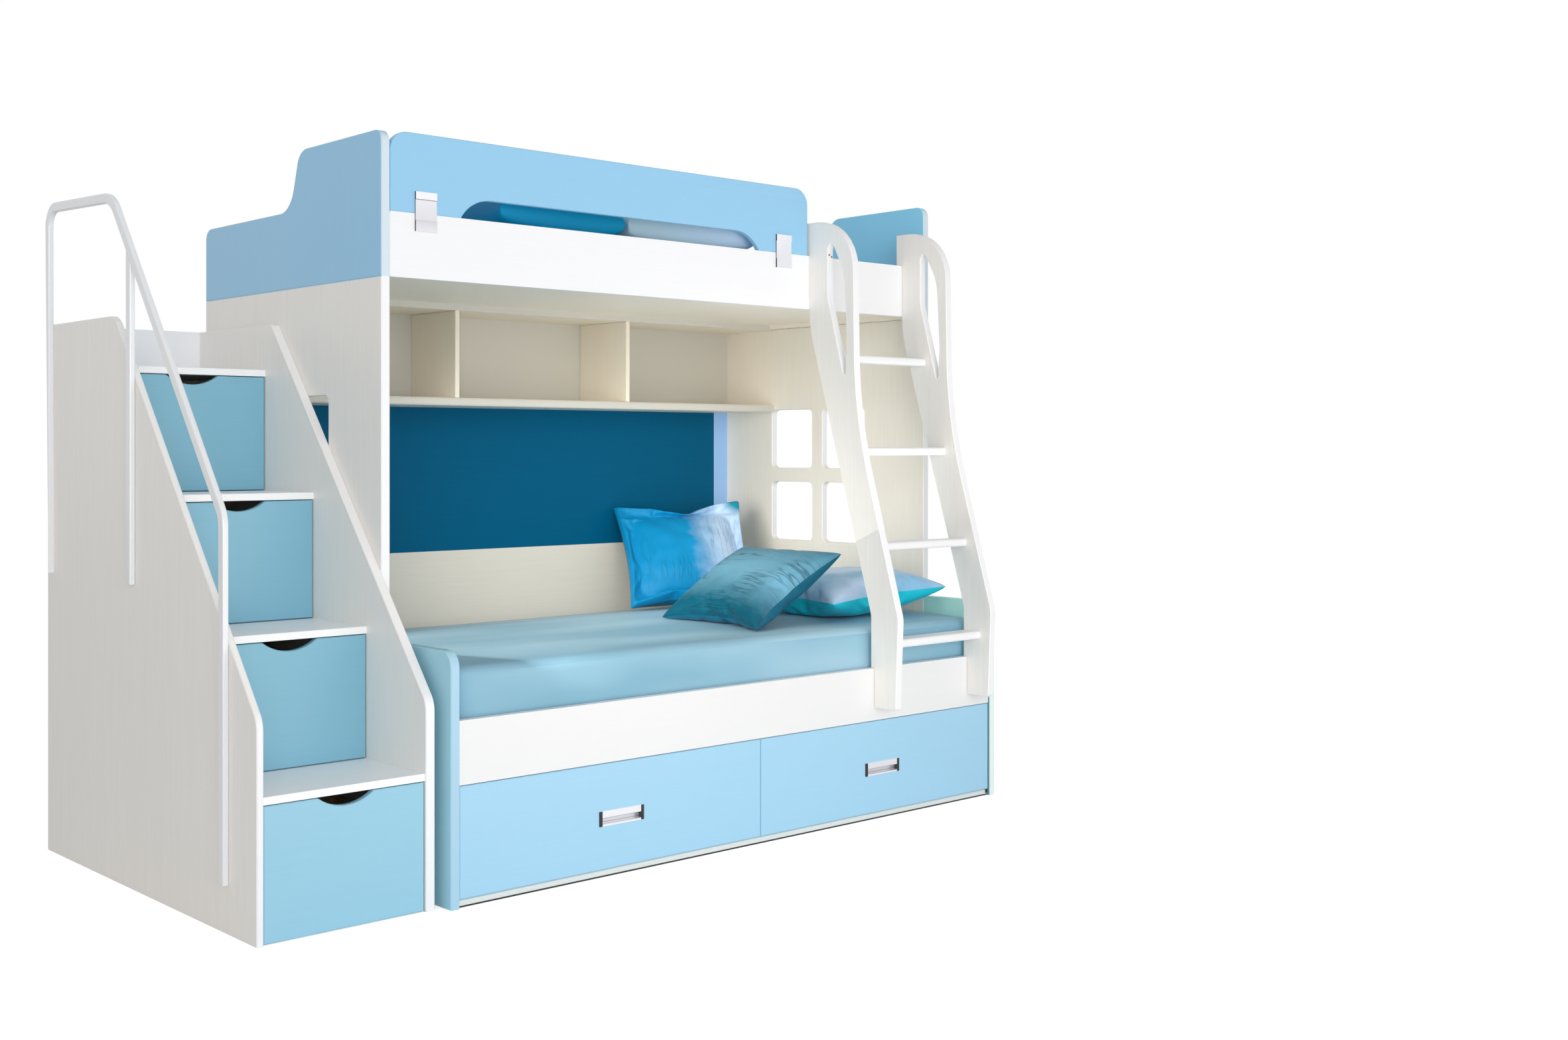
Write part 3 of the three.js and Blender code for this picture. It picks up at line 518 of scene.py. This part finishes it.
# %% Banded metal
METAL_BRIGHT = srgb(246, 246, 252)
METAL_SHADE = srgb(64, 70, 80)
BRUSH_SCALE = (12, 500, 700)
# Height on the piece and the painted brightness there.
PULL_BANDS = [
    (0.0, 1.0),
    (0.15, 1.0),
    (0.19, 0.3),
    (0.26, 0.75),
    (0.4, 0.85),
    (0.46, 0.3),
    (0.54, 0.35),
    (0.57, 1.0),
]
CLIP_BANDS = [
    (0.0, 0.86),
    (0.262, 0.74),
    (0.275, 0.5),
    (0.285, 0.8),
    (0.55, 0.84),
    (0.79, 0.9),
    (0.805, 0.25),
    (0.82, 1.0),
]
PLAIN_BANDS = [(0.0, 0.95), (1.0, 1.0)]


def banded_metal(name, piece, bands):
    """Bright metal with reflections painted in bands over its height, as its folds catch light, and
    end faces painted dark as shade.
    """
    metal = Finish(name, Metallic=0.55)
    tone = metal.mix(metal.ramp(metal.height_share(piece), bands), METAL_SHADE, METAL_BRIGHT)
    brushed = metal.noise(metal.scaled(metal.place(), BRUSH_SCALE), detail=4, roughness=0.6)
    metal.set("Base Color", metal.mix(metal.facing("X"), tone, METAL_SHADE))
    metal.roughen(brushed, least=0.3, swing=0.06)
    metal.bump(brushed, distance=0.002 * MM, strength=0.3)
    return metal.material


clip_banded = banded_metal("clip_metal", nodes["guard_clip_left"], CLIP_BANDS)
clip_plain = banded_metal("plain_clip_metal", nodes["guard_clip_right"], PLAIN_BANDS)
pull_banded = banded_metal("pull_metal", nodes["bed_drawer_pull_left"], PULL_BANDS)
print("bands on a pull:", len(PULL_BANDS), "and on a clip:", len(CLIP_BANDS))

# %% [markdown]
# Two small finishes are left: worn brass for the screws, and moulded black plastic with fine pits.
# One even noise each is enough at this size.

# %% Brass and black plastic
BRASS_LIGHT = srgb(196, 150, 92)
BRASS_DARK = srgb(150, 108, 62)
BLACK = (0.012, 0.012, 0.013)
WORN_BLACK = (0.022, 0.022, 0.023)
WEAR_SCALE = 300
PIT_SCALE = 1400


def brass_metal():
    metal = Finish("brass_screw", Metallic=1.0)
    worn = metal.noise(metal.place(), WEAR_SCALE, roughness=0.6)
    metal.set("Base Color", metal.mix(worn, BRASS_LIGHT, BRASS_DARK))
    metal.roughen(worn, least=0.28, swing=0.2)
    metal.bump(worn, distance=0.03 * MM, strength=0.5)
    return metal.material


def black_plastic():
    plastic = Finish("black_plastic", IOR=1.5)
    pits = plastic.noise(plastic.place(), PIT_SCALE, detail=2)
    plastic.set("Base Color", plastic.mix(pits, BLACK, WORN_BLACK))
    plastic.roughen(pits, least=0.38, swing=0.14)
    plastic.bump(pits, distance=0.04 * MM, strength=0.4)
    return plastic.material


brass = brass_metal()
black = black_plastic()
print("small finishes:", brass.name, "and", black.name)

# %% [markdown]
# Each board from the CAD model keeps its mesh and takes a finish by the first words of its name.
# The first line that fits counts, so the special boards stand above the plain ones. Uprights have
# upright grain, and rails, shelves and treads have level grain.

# %% Dress the boards
DRESSING = {
    "head_wing": wing_upright,
    "stair_drawer_tray": birch,
    "bed_drawer_tray": birch,
    "lower_slat_base": birch,
    "handrail": tube_white,
    "guard_clip_left": clip_banded,
    "guard_clip_right": clip_plain,
    "bed_drawer_pull": pull_banded,
    "back_panel": deep_level,
    "back_strip": pale_upright,
    "shelf_partition": cream_upright,
    "left_end_upper": sky_edged,
    "right_end_upper": head_edged,
    "lower_back_rail": rail_level,
    "lower_front_rail": lower_level,
    "plinth_rail": plinth_level,
    "right_end_lower": end_upright,
    "stair_tread": tread_level,
    "foot_panel": foot_upright,
    "guard_panel": sky_level,
    "bed_drawer_front": drawer_level,
    "stair_drawer_front_1": step_level,
    "stair_drawer_front": stair_level,
    "upper_base_board": soffit_level,
    "shelf_": cream_level,
    "upper_front_rail": white_level,
    "upper_rear_rail": white_level,
    "ladder_rung": white_level,
    "stair_": white_upright,
    "left_end_lower": white_upright,
    "drawer_divider": white_upright,
    "ladder_stile": white_upright,
}


def dress(name, piece):
    """Gives a board its finish and says whether it found one."""
    for start, material in DRESSING.items():
        if name.startswith(start):
            for slot in piece.material_slots:
                slot.material = material
            return True
    return False


bare = sorted(name for name, piece in nodes.items() if not dress(name, piece))
print("dressed boards:", len(nodes) - len(bare))
print("left for the soft goods:", bare)

# %% [markdown]
# The bedding is sateen: a fine weave whose long floating threads give a broad soft sheen. Threads
# are far too many to model, so two crossed waves make the weave as bump, noise makes the sheen
# uneven, and a little sheen lifts the edges. Slanting noise bands draw creases where the cover is
# pulled, and the creases are painted darker, as shade. All follow each piece's own UV map, so they
# bend with the cloth. A second tone is painted across the cover, or in broad waves, as the satin's
# highlights and sheen.

# %% Sateen
THREAD = 0.9 * MM
WEAVE_SCALE = 1 / (6 * THREAD)
WEAVE_LIFT = 0.07
SLUB_SCALE = (30, 420, 1)
SLUB_LIFT = 0.05
SLUB_SHARE = 0.16
SLUB_TINT = 0.86
SHEEN_CLOUD = 9
SATIN_ROUGHNESS = 0.46
CLOUD_ROUGHNESS = 0.12
WEAVE_GLOSS = 0.06
FADE_WANDER = 0.16
CREASE_TURN = math.radians(32)
CREASE_SCALE = (15, 2.6, 1)
CREASE_STOPS = [(0.46, 0.0), (0.52, 1.0), (0.58, 0.0)]
CREASED_SCALE = 2.6
CREASED_PART = [(0.4, 0.0), (0.58, 1.0)]
CREASE_SHARE = 0.1
CREASE_SHADE = 0.5


def weave_waves(cloth, flat):
    """The threads of both ways, as one height."""
    waves = [
        cloth.node(
            "ShaderNodeTexWave",
            {"wave_type": "BANDS", "wave_profile": "SIN", "bands_direction": way},
            {"Vector": flat, "Scale": WEAVE_SCALE},
        )
        for way in "XY"
    ]
    return cloth.node("ShaderNodeMath", {"operation": "MAXIMUM"}, {0: waves[0], 1: waves[1]})


def crease_lines(cloth, flat):
    """Thin slanting lines on a part of the cover, 1 in the middle of a line."""
    folds = cloth.noise(cloth.scaled(flat, CREASE_SCALE, (0, 0, CREASE_TURN)), detail=2)
    patches = cloth.noise(flat, CREASED_SCALE, detail=1, roughness=0.4)
    where = cloth.ramp(patches, CREASED_PART)
    return cloth.ramp(folds, CREASE_STOPS) * where


def sateen(name, colour, sheen_tone, stops, waves=None, crease=0.0, corner=None):
    """Sateen with a second tone painted on as sheen and highlights: across the cover, or in broad
    waves where a stretched noise is given.
    """
    cloth = Finish(name, Sheen_Weight=0.04, Sheen_Roughness=0.4, IOR=1.46, Specular_IOR_Level=0.25)
    flat = cloth.place("UV")
    weave = weave_waves(cloth, flat)
    cloud = cloth.noise(flat, SHEEN_CLOUD, roughness=0.55)
    slub = cloth.noise(cloth.scaled(flat, SLUB_SCALE), roughness=0.6)
    if waves:
        fade = cloth.noise(cloth.scaled(flat, waves), detail=2, roughness=0.4)
    else:
        fade = cloth.part(flat, "X") + cloud * FADE_WANDER - FADE_WANDER / 2
    # painted sheen: the second tone stands for the satin's highlights
    tone = cloth.mix(cloth.ramp(fade, stops), colour, sheen_tone)
    if corner:
        tip, start, end = corner
        reach = cloth.part(flat, "X") * cloth.part(flat, "Y")
        tone = cloth.mix(cloth.ramp(reach, [(start, 0.0), (end, 1.0)]), tone, tip)
    tone = cloth.mix(slub * SLUB_SHARE, tone, tinted(colour, SLUB_TINT))
    height = weave * WEAVE_LIFT + slub * SLUB_LIFT
    if crease:
        lines = crease_lines(cloth, flat)
        # painted shade: the crease lines are darker
        tone = cloth.mix(lines * crease * CREASE_SHARE, tone, tinted(colour, CREASE_SHADE))
        height = height - lines * crease
    cloth.set("Base Color", tone)
    cloth.set("Roughness", SATIN_ROUGHNESS + cloud * CLOUD_ROUGHNESS - weave * WEAVE_GLOSS)
    cloth.bump(height, distance=MM, strength=0.35)
    return cloth.material


print("sateen: a thread every", round(THREAD / MM, 1), "mm")

# %% [markdown]
# The sheet is pale teal, with a paler tone painted in broad waves as the satin's sheen. Each cover
# fades from one tone to another, painted as the highlights and sheen on satin, and a pillow's back
# cover has a tone of its own. Two covers change tone again in a corner.

# %% Sheet and covers
TEAL = srgb(0, 88, 110)
TEAL_SHEEN = srgb(128, 188, 216)
TEAL_TIP = srgb(0, 140, 165)
TURQUOISE = srgb(0, 140, 196)
LAVENDER = srgb(198, 222, 250)
EVEN = [(0.0, 0.0), (1.0, 1.0)]

# painted sheen: the sheet's paler tone lies in broad waves
sheet_cloth = sateen(
    "sheet_teal",
    srgb(128, 178, 201),
    srgb(167, 206, 225),
    [(0.38, 0.15), (0.62, 1.0)],
    waves=(2.4, 8.0, 1.0),
)
teal_cloth = sateen(
    "cover_teal",
    TEAL,
    TEAL_SHEEN,
    [(0.12, 0.0), (0.5, 0.8), (0.95, 0.3)],
    crease=6.0,
    corner=(LAVENDER, 0.7, 0.95),
)
turquoise_cloth = sateen(
    "cover_turquoise",
    TURQUOISE,
    LAVENDER,
    [(0.5, 0.0), (0.78, 1.0)],
    crease=3.0,
    corner=(TEAL_TIP, 0.8, 0.88),
)
lavender_cloth = sateen(
    "cover_lavender",
    LAVENDER,
    srgb(128, 188, 224),
    [(0.38, 0.0), (0.55, 0.9)],
    waves=(2.2, 3.0, 1.0),
)
dark_teal_cloth = sateen("cover_dark_teal", srgb(20, 104, 134), TEAL, EVEN)
clear_teal_cloth = sateen("cover_clear_teal", srgb(20, 196, 216), srgb(30, 198, 220), EVEN)
deep_teal_cloth = sateen("cover_deep_teal", srgb(0, 140, 188), srgb(0, 150, 190), EVEN)
grey_teal_cloth = sateen(
    "cover_grey_teal", srgb(185, 212, 224), LAVENDER, [(0.2, 0.0), (0.9, 0.8)]
)
print("cloths: one sheet and seven covers")

# %% [markdown]
# New pieces are built in a bmesh and become objects at the origin, with their place in the mesh, as
# the CAD pieces have. The sheet's weave needs a UV map that lies flat on the top and on each side.

# %% From bmesh to piece
STEEP = 0.5


def new_piece(name, shape, materials, smooth=True):
    """Turns a bmesh into a named object at the origin."""
    bmesh.ops.recalc_face_normals(shape, faces=shape.faces)
    mesh = bpy.data.meshes.new(name)
    shape.to_mesh(mesh)
    shape.free()
    for material in materials:
        mesh.materials.append(material)
    mesh.polygons.foreach_set("use_smooth", [smooth] * len(mesh.polygons))
    piece = bpy.data.objects.new(name, mesh)
    bpy.context.collection.objects.link(piece)
    return piece


def flat_map(shape, low, length):
    """A UV map in shares of the length, from above on top and along the side on the sides."""
    layer = shape.loops.layers.uv.verify()
    for face in shape.faces:
        sideways = abs(face.normal.z) < STEEP
        along_y = sideways and abs(face.normal.x) > abs(face.normal.y)
        for loop in face.loops:
            x, y, z = (loop.vert.co - low) / length
            loop[layer].uv = (y if along_y else x, z if sideways else y)


print("pieces can be made")

# %% [markdown]
# A mattress in its fitted sheet is a rounded slab. It starts as a finely divided box, and each
# point is drawn onto the nearest place of a rounded box. Slow noise then gives the pull of the
# sheet on top and the slack folds on the sides, and the open edge sinks a little where people sit.

# %% Mattress shape
MATTRESS_CUTS = 63
FALL_RUN = 430 * MM
BROAD_SHARE = 0.7
CROSS_SHARE = 0.45
FOLD_SHARE = 0.8
TOP_BAND = (0.7, 1.0)
SINK_BAND = (0.2, 1.0)
SEAT_BAND = (0.35, 1.0)
EDGE_BAND = (0.02, 0.3)


def ease_in(value, start, end):
    share = min(1.0, max(0.0, (value - start) / (end - start)))
    return share * share * (3 - 2 * share)


def rounded(point, low, high, edge, corner):
    """Draws a point onto a box that is round at its corners from above and along its edges."""
    hub = Vector([min(max(point[i], low[i] + corner), high[i] - corner) for i in range(2)])
    out = point.xy - hub
    reach = min(out.length, corner)
    inset = corner - edge
    roll = max(0.0, reach - inset)
    middle = min(max(point.z, low.z + edge), high.z - edge)
    rise = point.z - middle
    length = math.hypot(roll, rise)
    if length > edge:
        roll *= edge / length
        rise *= edge / length
    if out.length > 0:
        out = out.normalized() * (min(reach, inset) + roll)
    return Vector((hub.x + out.x, hub.y + out.y, middle + rise))


def sheet_waves(point, top):
    """Slack of the sheet, -1 to 1: two waves across the top and one down the sides."""
    x, y, z = point
    # The factors are noise cells to the metre, and the fixed numbers keep the three apart.
    broad = noise.noise(Vector((x * 1.7, y * 3.1, 4.0)))
    cross = noise.noise(Vector((x * 4.2 + y * 2.0, y * 6.0, 9.0)))
    fold = noise.noise(Vector((x * 6.5, z * 9.0 - x * 2.0, 2.0 + y * 3.0)))
    return top * (BROAD_SHARE * broad + CROSS_SHARE * cross) + (1 - top) * FOLD_SHARE * fold


def arch(share):
    """0 at both ends and 1 in the middle."""
    return math.sin(math.pi * min(1, max(0, share)))


def mattress_form(low, high, edge, corner, sag, slack, crown, fall):
    size = high - low
    shape = bmesh.new()
    bmesh.ops.create_cube(shape, size=1)
    bmesh.ops.subdivide_edges(shape, edges=shape.edges, cuts=MATTRESS_CUTS, use_grid_fill=True)
    bmesh.ops.scale(shape, verts=shape.verts, vec=size)
    bmesh.ops.translate(shape, verts=shape.verts, vec=(low + high) / 2)
    for vert in shape.verts:
        vert.co = rounded(vert.co, low, high, edge, corner)
    shape.normal_update()
    for vert in shape.verts:
        along, inward, up = (((vert.co - low)[i]) / size[i] for i in range(3))
        top = ease_in(up, *TOP_BAND)
        vert.co += vert.normal * slack * (sheet_waves(vert.co, top) - 1)
        sink = (1 - ease_in(inward, *EDGE_BAND)) * ease_in(along, *SEAT_BAND)
        vert.co.z -= sag * sink * ease_in(up, *SINK_BAND)
        vert.co.z += crown * arch(along) * arch(inward) * top
        back = max(0.0, vert.co.y - (high.y - FALL_RUN)) / FALL_RUN
        vert.co.z -= fall * back * max(0.0, up)
    return shape


print("mattress shape: cut", MATTRESS_CUTS, "times each way")

# %% [markdown]
# Both mattresses fill the boxes of their CAD solids, less the slack of the sheet. The lower one is
# wider and falls towards the wall over its last stretch.


# %% Mattresses
def mattress(name, node, edge, corner, sag, slack, crown, fall=0.0):
    low, high = (Vector(point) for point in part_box(node))
    shape = mattress_form(low, high, edge, corner, sag, slack, crown, fall)
    flat_map(shape, low, high.x - low.x)
    piece = new_piece(name, shape, [sheet_cloth])
    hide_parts(node)
    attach(piece, "bed_frame")
    return piece


mattress(
    "lower_mattress_in_sheet",
    "lower_mattress",
    edge=34 * MM,
    corner=60 * MM,
    sag=8 * MM,
    slack=3 * MM,
    crown=1 * MM,
    fall=38 * MM,
)
mattress(
    "upper_mattress_in_sheet",
    "upper_mattress",
    edge=30 * MM,
    corner=70 * MM,
    sag=6 * MM,
    slack=2.5 * MM,
    crown=1 * MM,
)

# %% [markdown]
# A pillow is two covers sewn along their edges. It starts as a crowned form that is full in the
# middle, thin at the seam and drawn in between its corners. The pillows of the upper bunk are
# packed fuller, and only their tops show.

# %% Crowned covers
COVER_STEPS = 60
CORNER_POWER = 0.9
LUMPS = 4 * MM
LUMP_SCALE = 18
SIDE_SHIFT = 3


def crowned_cover(length, width, height, seed, power, pinch):
    """A closed pillow form. Its front cover has material 0 and its back cover material 1."""
    shape = bmesh.new()
    bmesh.ops.create_grid(shape, x_segments=COVER_STEPS, y_segments=COVER_STEPS, size=1)
    layer = shape.loops.layers.uv.verify()
    for face in shape.faces:
        for loop in face.loops:
            loop[layer].uv = (loop.vert.co.x / 2 + 0.5, loop.vert.co.y / 2 + 0.5)
    front = list(shape.faces)
    copies = bmesh.ops.duplicate(shape, geom=front)["geom"]
    back = [item for item in copies if isinstance(item, bmesh.types.BMFace)]
    back_verts = {vert for face in back for vert in face.verts}
    bmesh.ops.reverse_faces(shape, faces=back)
    for face in back:
        face.material_index = 1
    for vert in shape.verts:
        u = math.copysign(abs(vert.co.x) ** CORNER_POWER, vert.co.x)
        v = math.copysign(abs(vert.co.y) ** CORNER_POWER, vert.co.y)
        rise = (max(0, 1 - u * u) * max(0, 1 - v * v)) ** power
        x = length / 2 * u * (1 - pinch * (1 - v * v))
        y = width / 2 * v * (1 - pinch * (1 - u * u))
        side = -1 if vert in back_verts else 1
        spot = Vector((x * LUMP_SCALE, y * LUMP_SCALE, side * SIDE_SHIFT + seed))
        vert.co = (x, y, side * height / 2 * rise + LUMPS * rise * noise.noise(spot))
    bmesh.ops.remove_doubles(shape, verts=shape.verts, dist=MM / 1000)
    return shape


print("crowned covers:", COVER_STEPS, "steps each way")

# %% [markdown]
# A cover could be sculpted by hand, but cloth simulation does what stuffing does: the cover is cut
# a little larger than its filling and pressed from inside, so it gathers along the seams and pulls
# to the corners. No point moves further than a set cap, and the stuffed cover is brought back to
# the pillow's measured size.

# %% Stuffing
PINCH = 0.09
CROWN_POWER = 0.42
FULL_PINCH = 0.03
FULL_POWER = 0.24
FILL_FRAMES = 20
MOVE_CAP = 30 * MM
SPARE_CLOTH = 0.03
CLOTH_SETTINGS = {
    "quality": 6,
    "mass": 0.2,
    "tension_stiffness": 15,
    "compression_stiffness": 15,
    "shear_stiffness": 5,
    "bending_stiffness": 0.01,
    "air_damping": 3,
    "use_pressure": True,
    "uniform_pressure_force": 3.0,
    "shrink_min": -SPARE_CLOTH,
}


def fill(bag):
    """Presses a closed cover from inside for a few frames."""
    cloth = bag.modifiers.new("fill", "CLOTH")
    for label, value in CLOTH_SETTINGS.items():
        setattr(cloth.settings, label, value)
    cloth.settings.effector_weights.gravity = 0
    cloth.point_cache.frame_end = FILL_FRAMES
    for step in range(1, FILL_FRAMES + 1):
        bpy.context.scene.frame_set(step)


def span(mesh):
    """The lowest and the highest corner of the box round a mesh."""
    points = [vert.co for vert in mesh.vertices]
    low = Vector([min(point[i] for point in points) for i in range(3)])
    high = Vector([max(point[i] for point in points) for i in range(3)])
    return low, high


def stuffed(name, size, seed, full):
    """A stuffed cover's mesh, scaled to size. A full one keeps its crowned form."""
    form = (FULL_POWER, FULL_PINCH) if full else (CROWN_POWER, PINCH)
    bag = new_piece(name + "_bag", crowned_cover(*size, seed, *form), [])
    start = [vert.co.copy() for vert in bag.data.vertices]
    if not full:
        fill(bag)
    view = bpy.context.evaluated_depsgraph_get()
    mesh = bpy.data.meshes.new_from_object(bag.evaluated_get(view))
    bpy.data.objects.remove(bag)
    bpy.context.scene.frame_set(1)
    for vert, old in zip(mesh.vertices, start):
        move = vert.co - old
        if move.length > MOVE_CAP:
            vert.co = old + move * (MOVE_CAP / move.length)
    low, high = span(mesh)
    scale = Matrix.Diagonal([size[i] / (high[i] - low[i]) for i in range(3)]).to_4x4()
    mesh.transform(scale @ Matrix.Translation(-(low + high) / 2))
    return mesh


print("stuffing:", FILL_FRAMES, "frames, cap", round(MOVE_CAP / MM), "mm")

# %% [markdown]
# Each pillow leans as its CAD solid does and stands in that solid's box. It sinks a little into the
# mattress, and what would go below the mattress top is pressed flat on it.

# %% Lay a pillow
PRESS = 6 * MM
REST_GAP = MM / 2


def pillow(name, node, size, lean, covers, seed):
    mesh = stuffed(name, size, seed, full=node.startswith("upper"))
    mesh.name = name
    turn = Matrix.Identity(4)
    for axis, degrees in zip("XYZ", lean):
        turn = turn @ Matrix.Rotation(math.radians(degrees), 4, axis)
    mesh.transform(turn)
    low, high = (Vector(point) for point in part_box(node))
    under, over = span(mesh)
    shift = (low + high) / 2 - (under + over) / 2
    shift.z = low.z - under.z - PRESS
    mesh.transform(Matrix.Translation(shift))
    for vert in mesh.vertices:
        vert.co.z = max(vert.co.z, low.z + REST_GAP)
    for material in covers:
        mesh.materials.append(material)
    mesh.polygons.foreach_set("use_smooth", [True] * len(mesh.polygons))
    piece = bpy.data.objects.new(name, mesh)
    bpy.context.collection.objects.link(piece)
    smooth = piece.modifiers.new("finish", "SUBSURF")
    smooth.levels = 1
    smooth.render_levels = 1
    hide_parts(node)
    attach(piece, "bed_frame")
    return piece


print("pillows sink", round(PRESS / MM), "mm into the mattress")

# %% [markdown]
# Three pillows lie at the head of the lower bunk. The upper bunk has two, which show through the
# guard's slot.

# %% Pillows
SEED_STEP = 7.0
# Size in metres, lean about x, y and z in degrees, front and back cover, and slot.
PILLOWS = {
    "pillow_a": (
        (0.455, 0.405, 0.135),
        (53, -20, -13),
        (turquoise_cloth, dark_teal_cloth),
        "pillow_turquoise",
    ),
    "pillow_b": (
        (0.385, 0.457, 0.136),
        (-1.8, -31.9, -3.7),
        (teal_cloth, dark_teal_cloth),
        "pillow_teal",
    ),
    "pillow_c": (
        (0.505, 0.44, 0.14),
        (0, -3, 0),
        (lavender_cloth, clear_teal_cloth),
        "pillow_lavender",
    ),
    "upper_pillow_left": (
        (0.44, 0.38, 0.14),
        (0, 0, 4),
        (deep_teal_cloth, deep_teal_cloth),
        "pillow_turquoise",
    ),
    "upper_pillow_right": (
        (0.47, 0.38, 0.14),
        (0, 0, -3),
        (grey_teal_cloth, grey_teal_cloth),
        "pillow_lavender",
    ),
}

for number, (node, (size, lean, covers, slot)) in enumerate(PILLOWS.items()):
    made = pillow(node + "_stuffed", node, size, lean, covers, number * SEED_STEP)
    print(made.name, len(made.data.vertices), "points")

# %% [markdown]
# The recessed pulls end in black plastic caps, clipped over the channel's ends. A cap is a plain
# block with its edges bevelled, and so are the other small plastic parts.

# %% Pull caps
CAP_LENGTH = 9 * MM
CAP_PROUD = 1.2 * MM
CAP_ROUND = 1.2 * MM
CAP_DEPTH = 1.5 * MM
BEVEL_STEPS = 2


def rounded_block(name, low, high, edge, body):
    """A block of black plastic between two corners, with bevelled edges."""
    shape = bmesh.new()
    bmesh.ops.create_cube(shape, size=1)
    bmesh.ops.scale(shape, verts=shape.verts, vec=high - low)
    bmesh.ops.translate(shape, verts=shape.verts, vec=(low + high) / 2)
    bmesh.ops.bevel(
        shape,
        geom=shape.edges,
        offset=edge,
        offset_type="OFFSET",
        segments=BEVEL_STEPS,
        profile=0.5,
        affect="EDGES",
        material=-1,
    )
    piece = new_piece(name, shape, [black], smooth=False)
    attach(piece, body)
    return piece


for side in ("left", "right"):
    low, high = (Vector(point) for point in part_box(f"bed_drawer_pull_{side}"))
    for end, start in (("a", low.x), ("b", high.x - CAP_LENGTH)):
        cap_low = Vector((start, low.y - CAP_PROUD, low.z))
        cap_high = Vector((start + CAP_LENGTH, low.y + CAP_DEPTH, high.z))
        cap = rounded_block(
            f"pull_cap_{side}_{end}", cap_low, cap_high, CAP_ROUND, f"bed_drawer_{side}"
        )
        print(cap.name)

# %% [markdown]
# A thin black strip under the plinth's front stands in for the shade where the plinth meets the
# floor, and shows as a dark line there. A small block at its right end stops the drawer.

# %% Plinth shadow strip and drawer stop
SHADOW_STRIP_HEIGHT = 4 * MM
SHADOW_STRIP_PROUD = 1 * MM
SHADOW_STRIP_DEPTH = 14 * MM
STOP_SIZE = Vector((7 * MM, 5 * MM, 11 * MM))
STOP_INSET = 1 * MM
STOP_ROUND = 1 * MM

low, high = (Vector(point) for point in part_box("plinth_rail"))
shadow_strip_low = Vector((low.x, low.y - SHADOW_STRIP_PROUD, low.z))
shadow_strip_high = Vector((high.x, low.y + SHADOW_STRIP_DEPTH, low.z + SHADOW_STRIP_HEIGHT))
# painted shade: the black strip is the dark line where the plinth meets the floor
rounded_block("plinth_shadow_strip", shadow_strip_low, shadow_strip_high, SHADOW_STRIP_PROUD, "bed_frame")
stop_high = Vector((high.x - STOP_INSET, low.y + STOP_SIZE.y / 2, high.z - STOP_INSET))
rounded_block("drawer_stop", stop_high - STOP_SIZE, stop_high, STOP_ROUND, "bed_frame")
print("plinth: shadow strip", round(high.x - low.x, 3), "m long, and a stop")

# %% [markdown]
# Two brass screws show inside the left stile's slot, on the wall that hooks over the rail. Each is
# a low domed head. A flattened ball would do, but a spun outline gives it a flat seat: a quarter of
# its outline is drawn and turned once round the screw's own axis.

# %% Hook screws
SCREW_RADIUS = 3.5 * MM
SCREW_RISE = 1.6 * MM
SCREW_STEPS = 16
SCREW_RINGS = 4
SLOT_WALL = 286.5 * MM  # slot's rear wall, from the stile's front
SCREW_SPOTS = ((7 * MM, -101 * MM), (17 * MM, -106 * MM))  # from the stile's face and its top


def screw_head(name, place):
    """A domed head about the y axis, its flat side at the given place and its dome to the front."""
    shape = bmesh.new()
    rim = []
    for ring in range(SCREW_RINGS + 1):
        turn = math.pi / 2 * ring / SCREW_RINGS
        reach = SCREW_RADIUS * math.cos(turn) if ring < SCREW_RINGS else 0
        rim.append(shape.verts.new((reach, -SCREW_RISE * math.sin(turn), 0)))
    edges = [shape.edges.new(pair) for pair in zip(rim, rim[1:])]
    bmesh.ops.spin(
        shape,
        geom=rim + edges,
        axis=(0, 1, 0),
        cent=(0, 0, 0),
        angle=2 * math.pi,
        steps=SCREW_STEPS,
        use_merge=True,
    )
    bmesh.ops.remove_doubles(shape, verts=shape.verts, dist=MM / 100)
    bmesh.ops.holes_fill(shape, edges=[edge for edge in shape.edges if edge.is_boundary])
    bmesh.ops.translate(shape, verts=shape.verts, vec=place)
    piece = new_piece(name, shape, [brass])
    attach(piece, "bed_frame")
    return piece


low, high = (Vector(point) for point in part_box("ladder_stile_left"))
for number, (along, down) in enumerate(SCREW_SPOTS):
    place = Vector((low.x + along, low.y + SLOT_WALL, high.z + down))
    head = screw_head(f"hook_screw_{number + 1}", place)
    print(head.name, "at", [round(v, 3) for v in place])
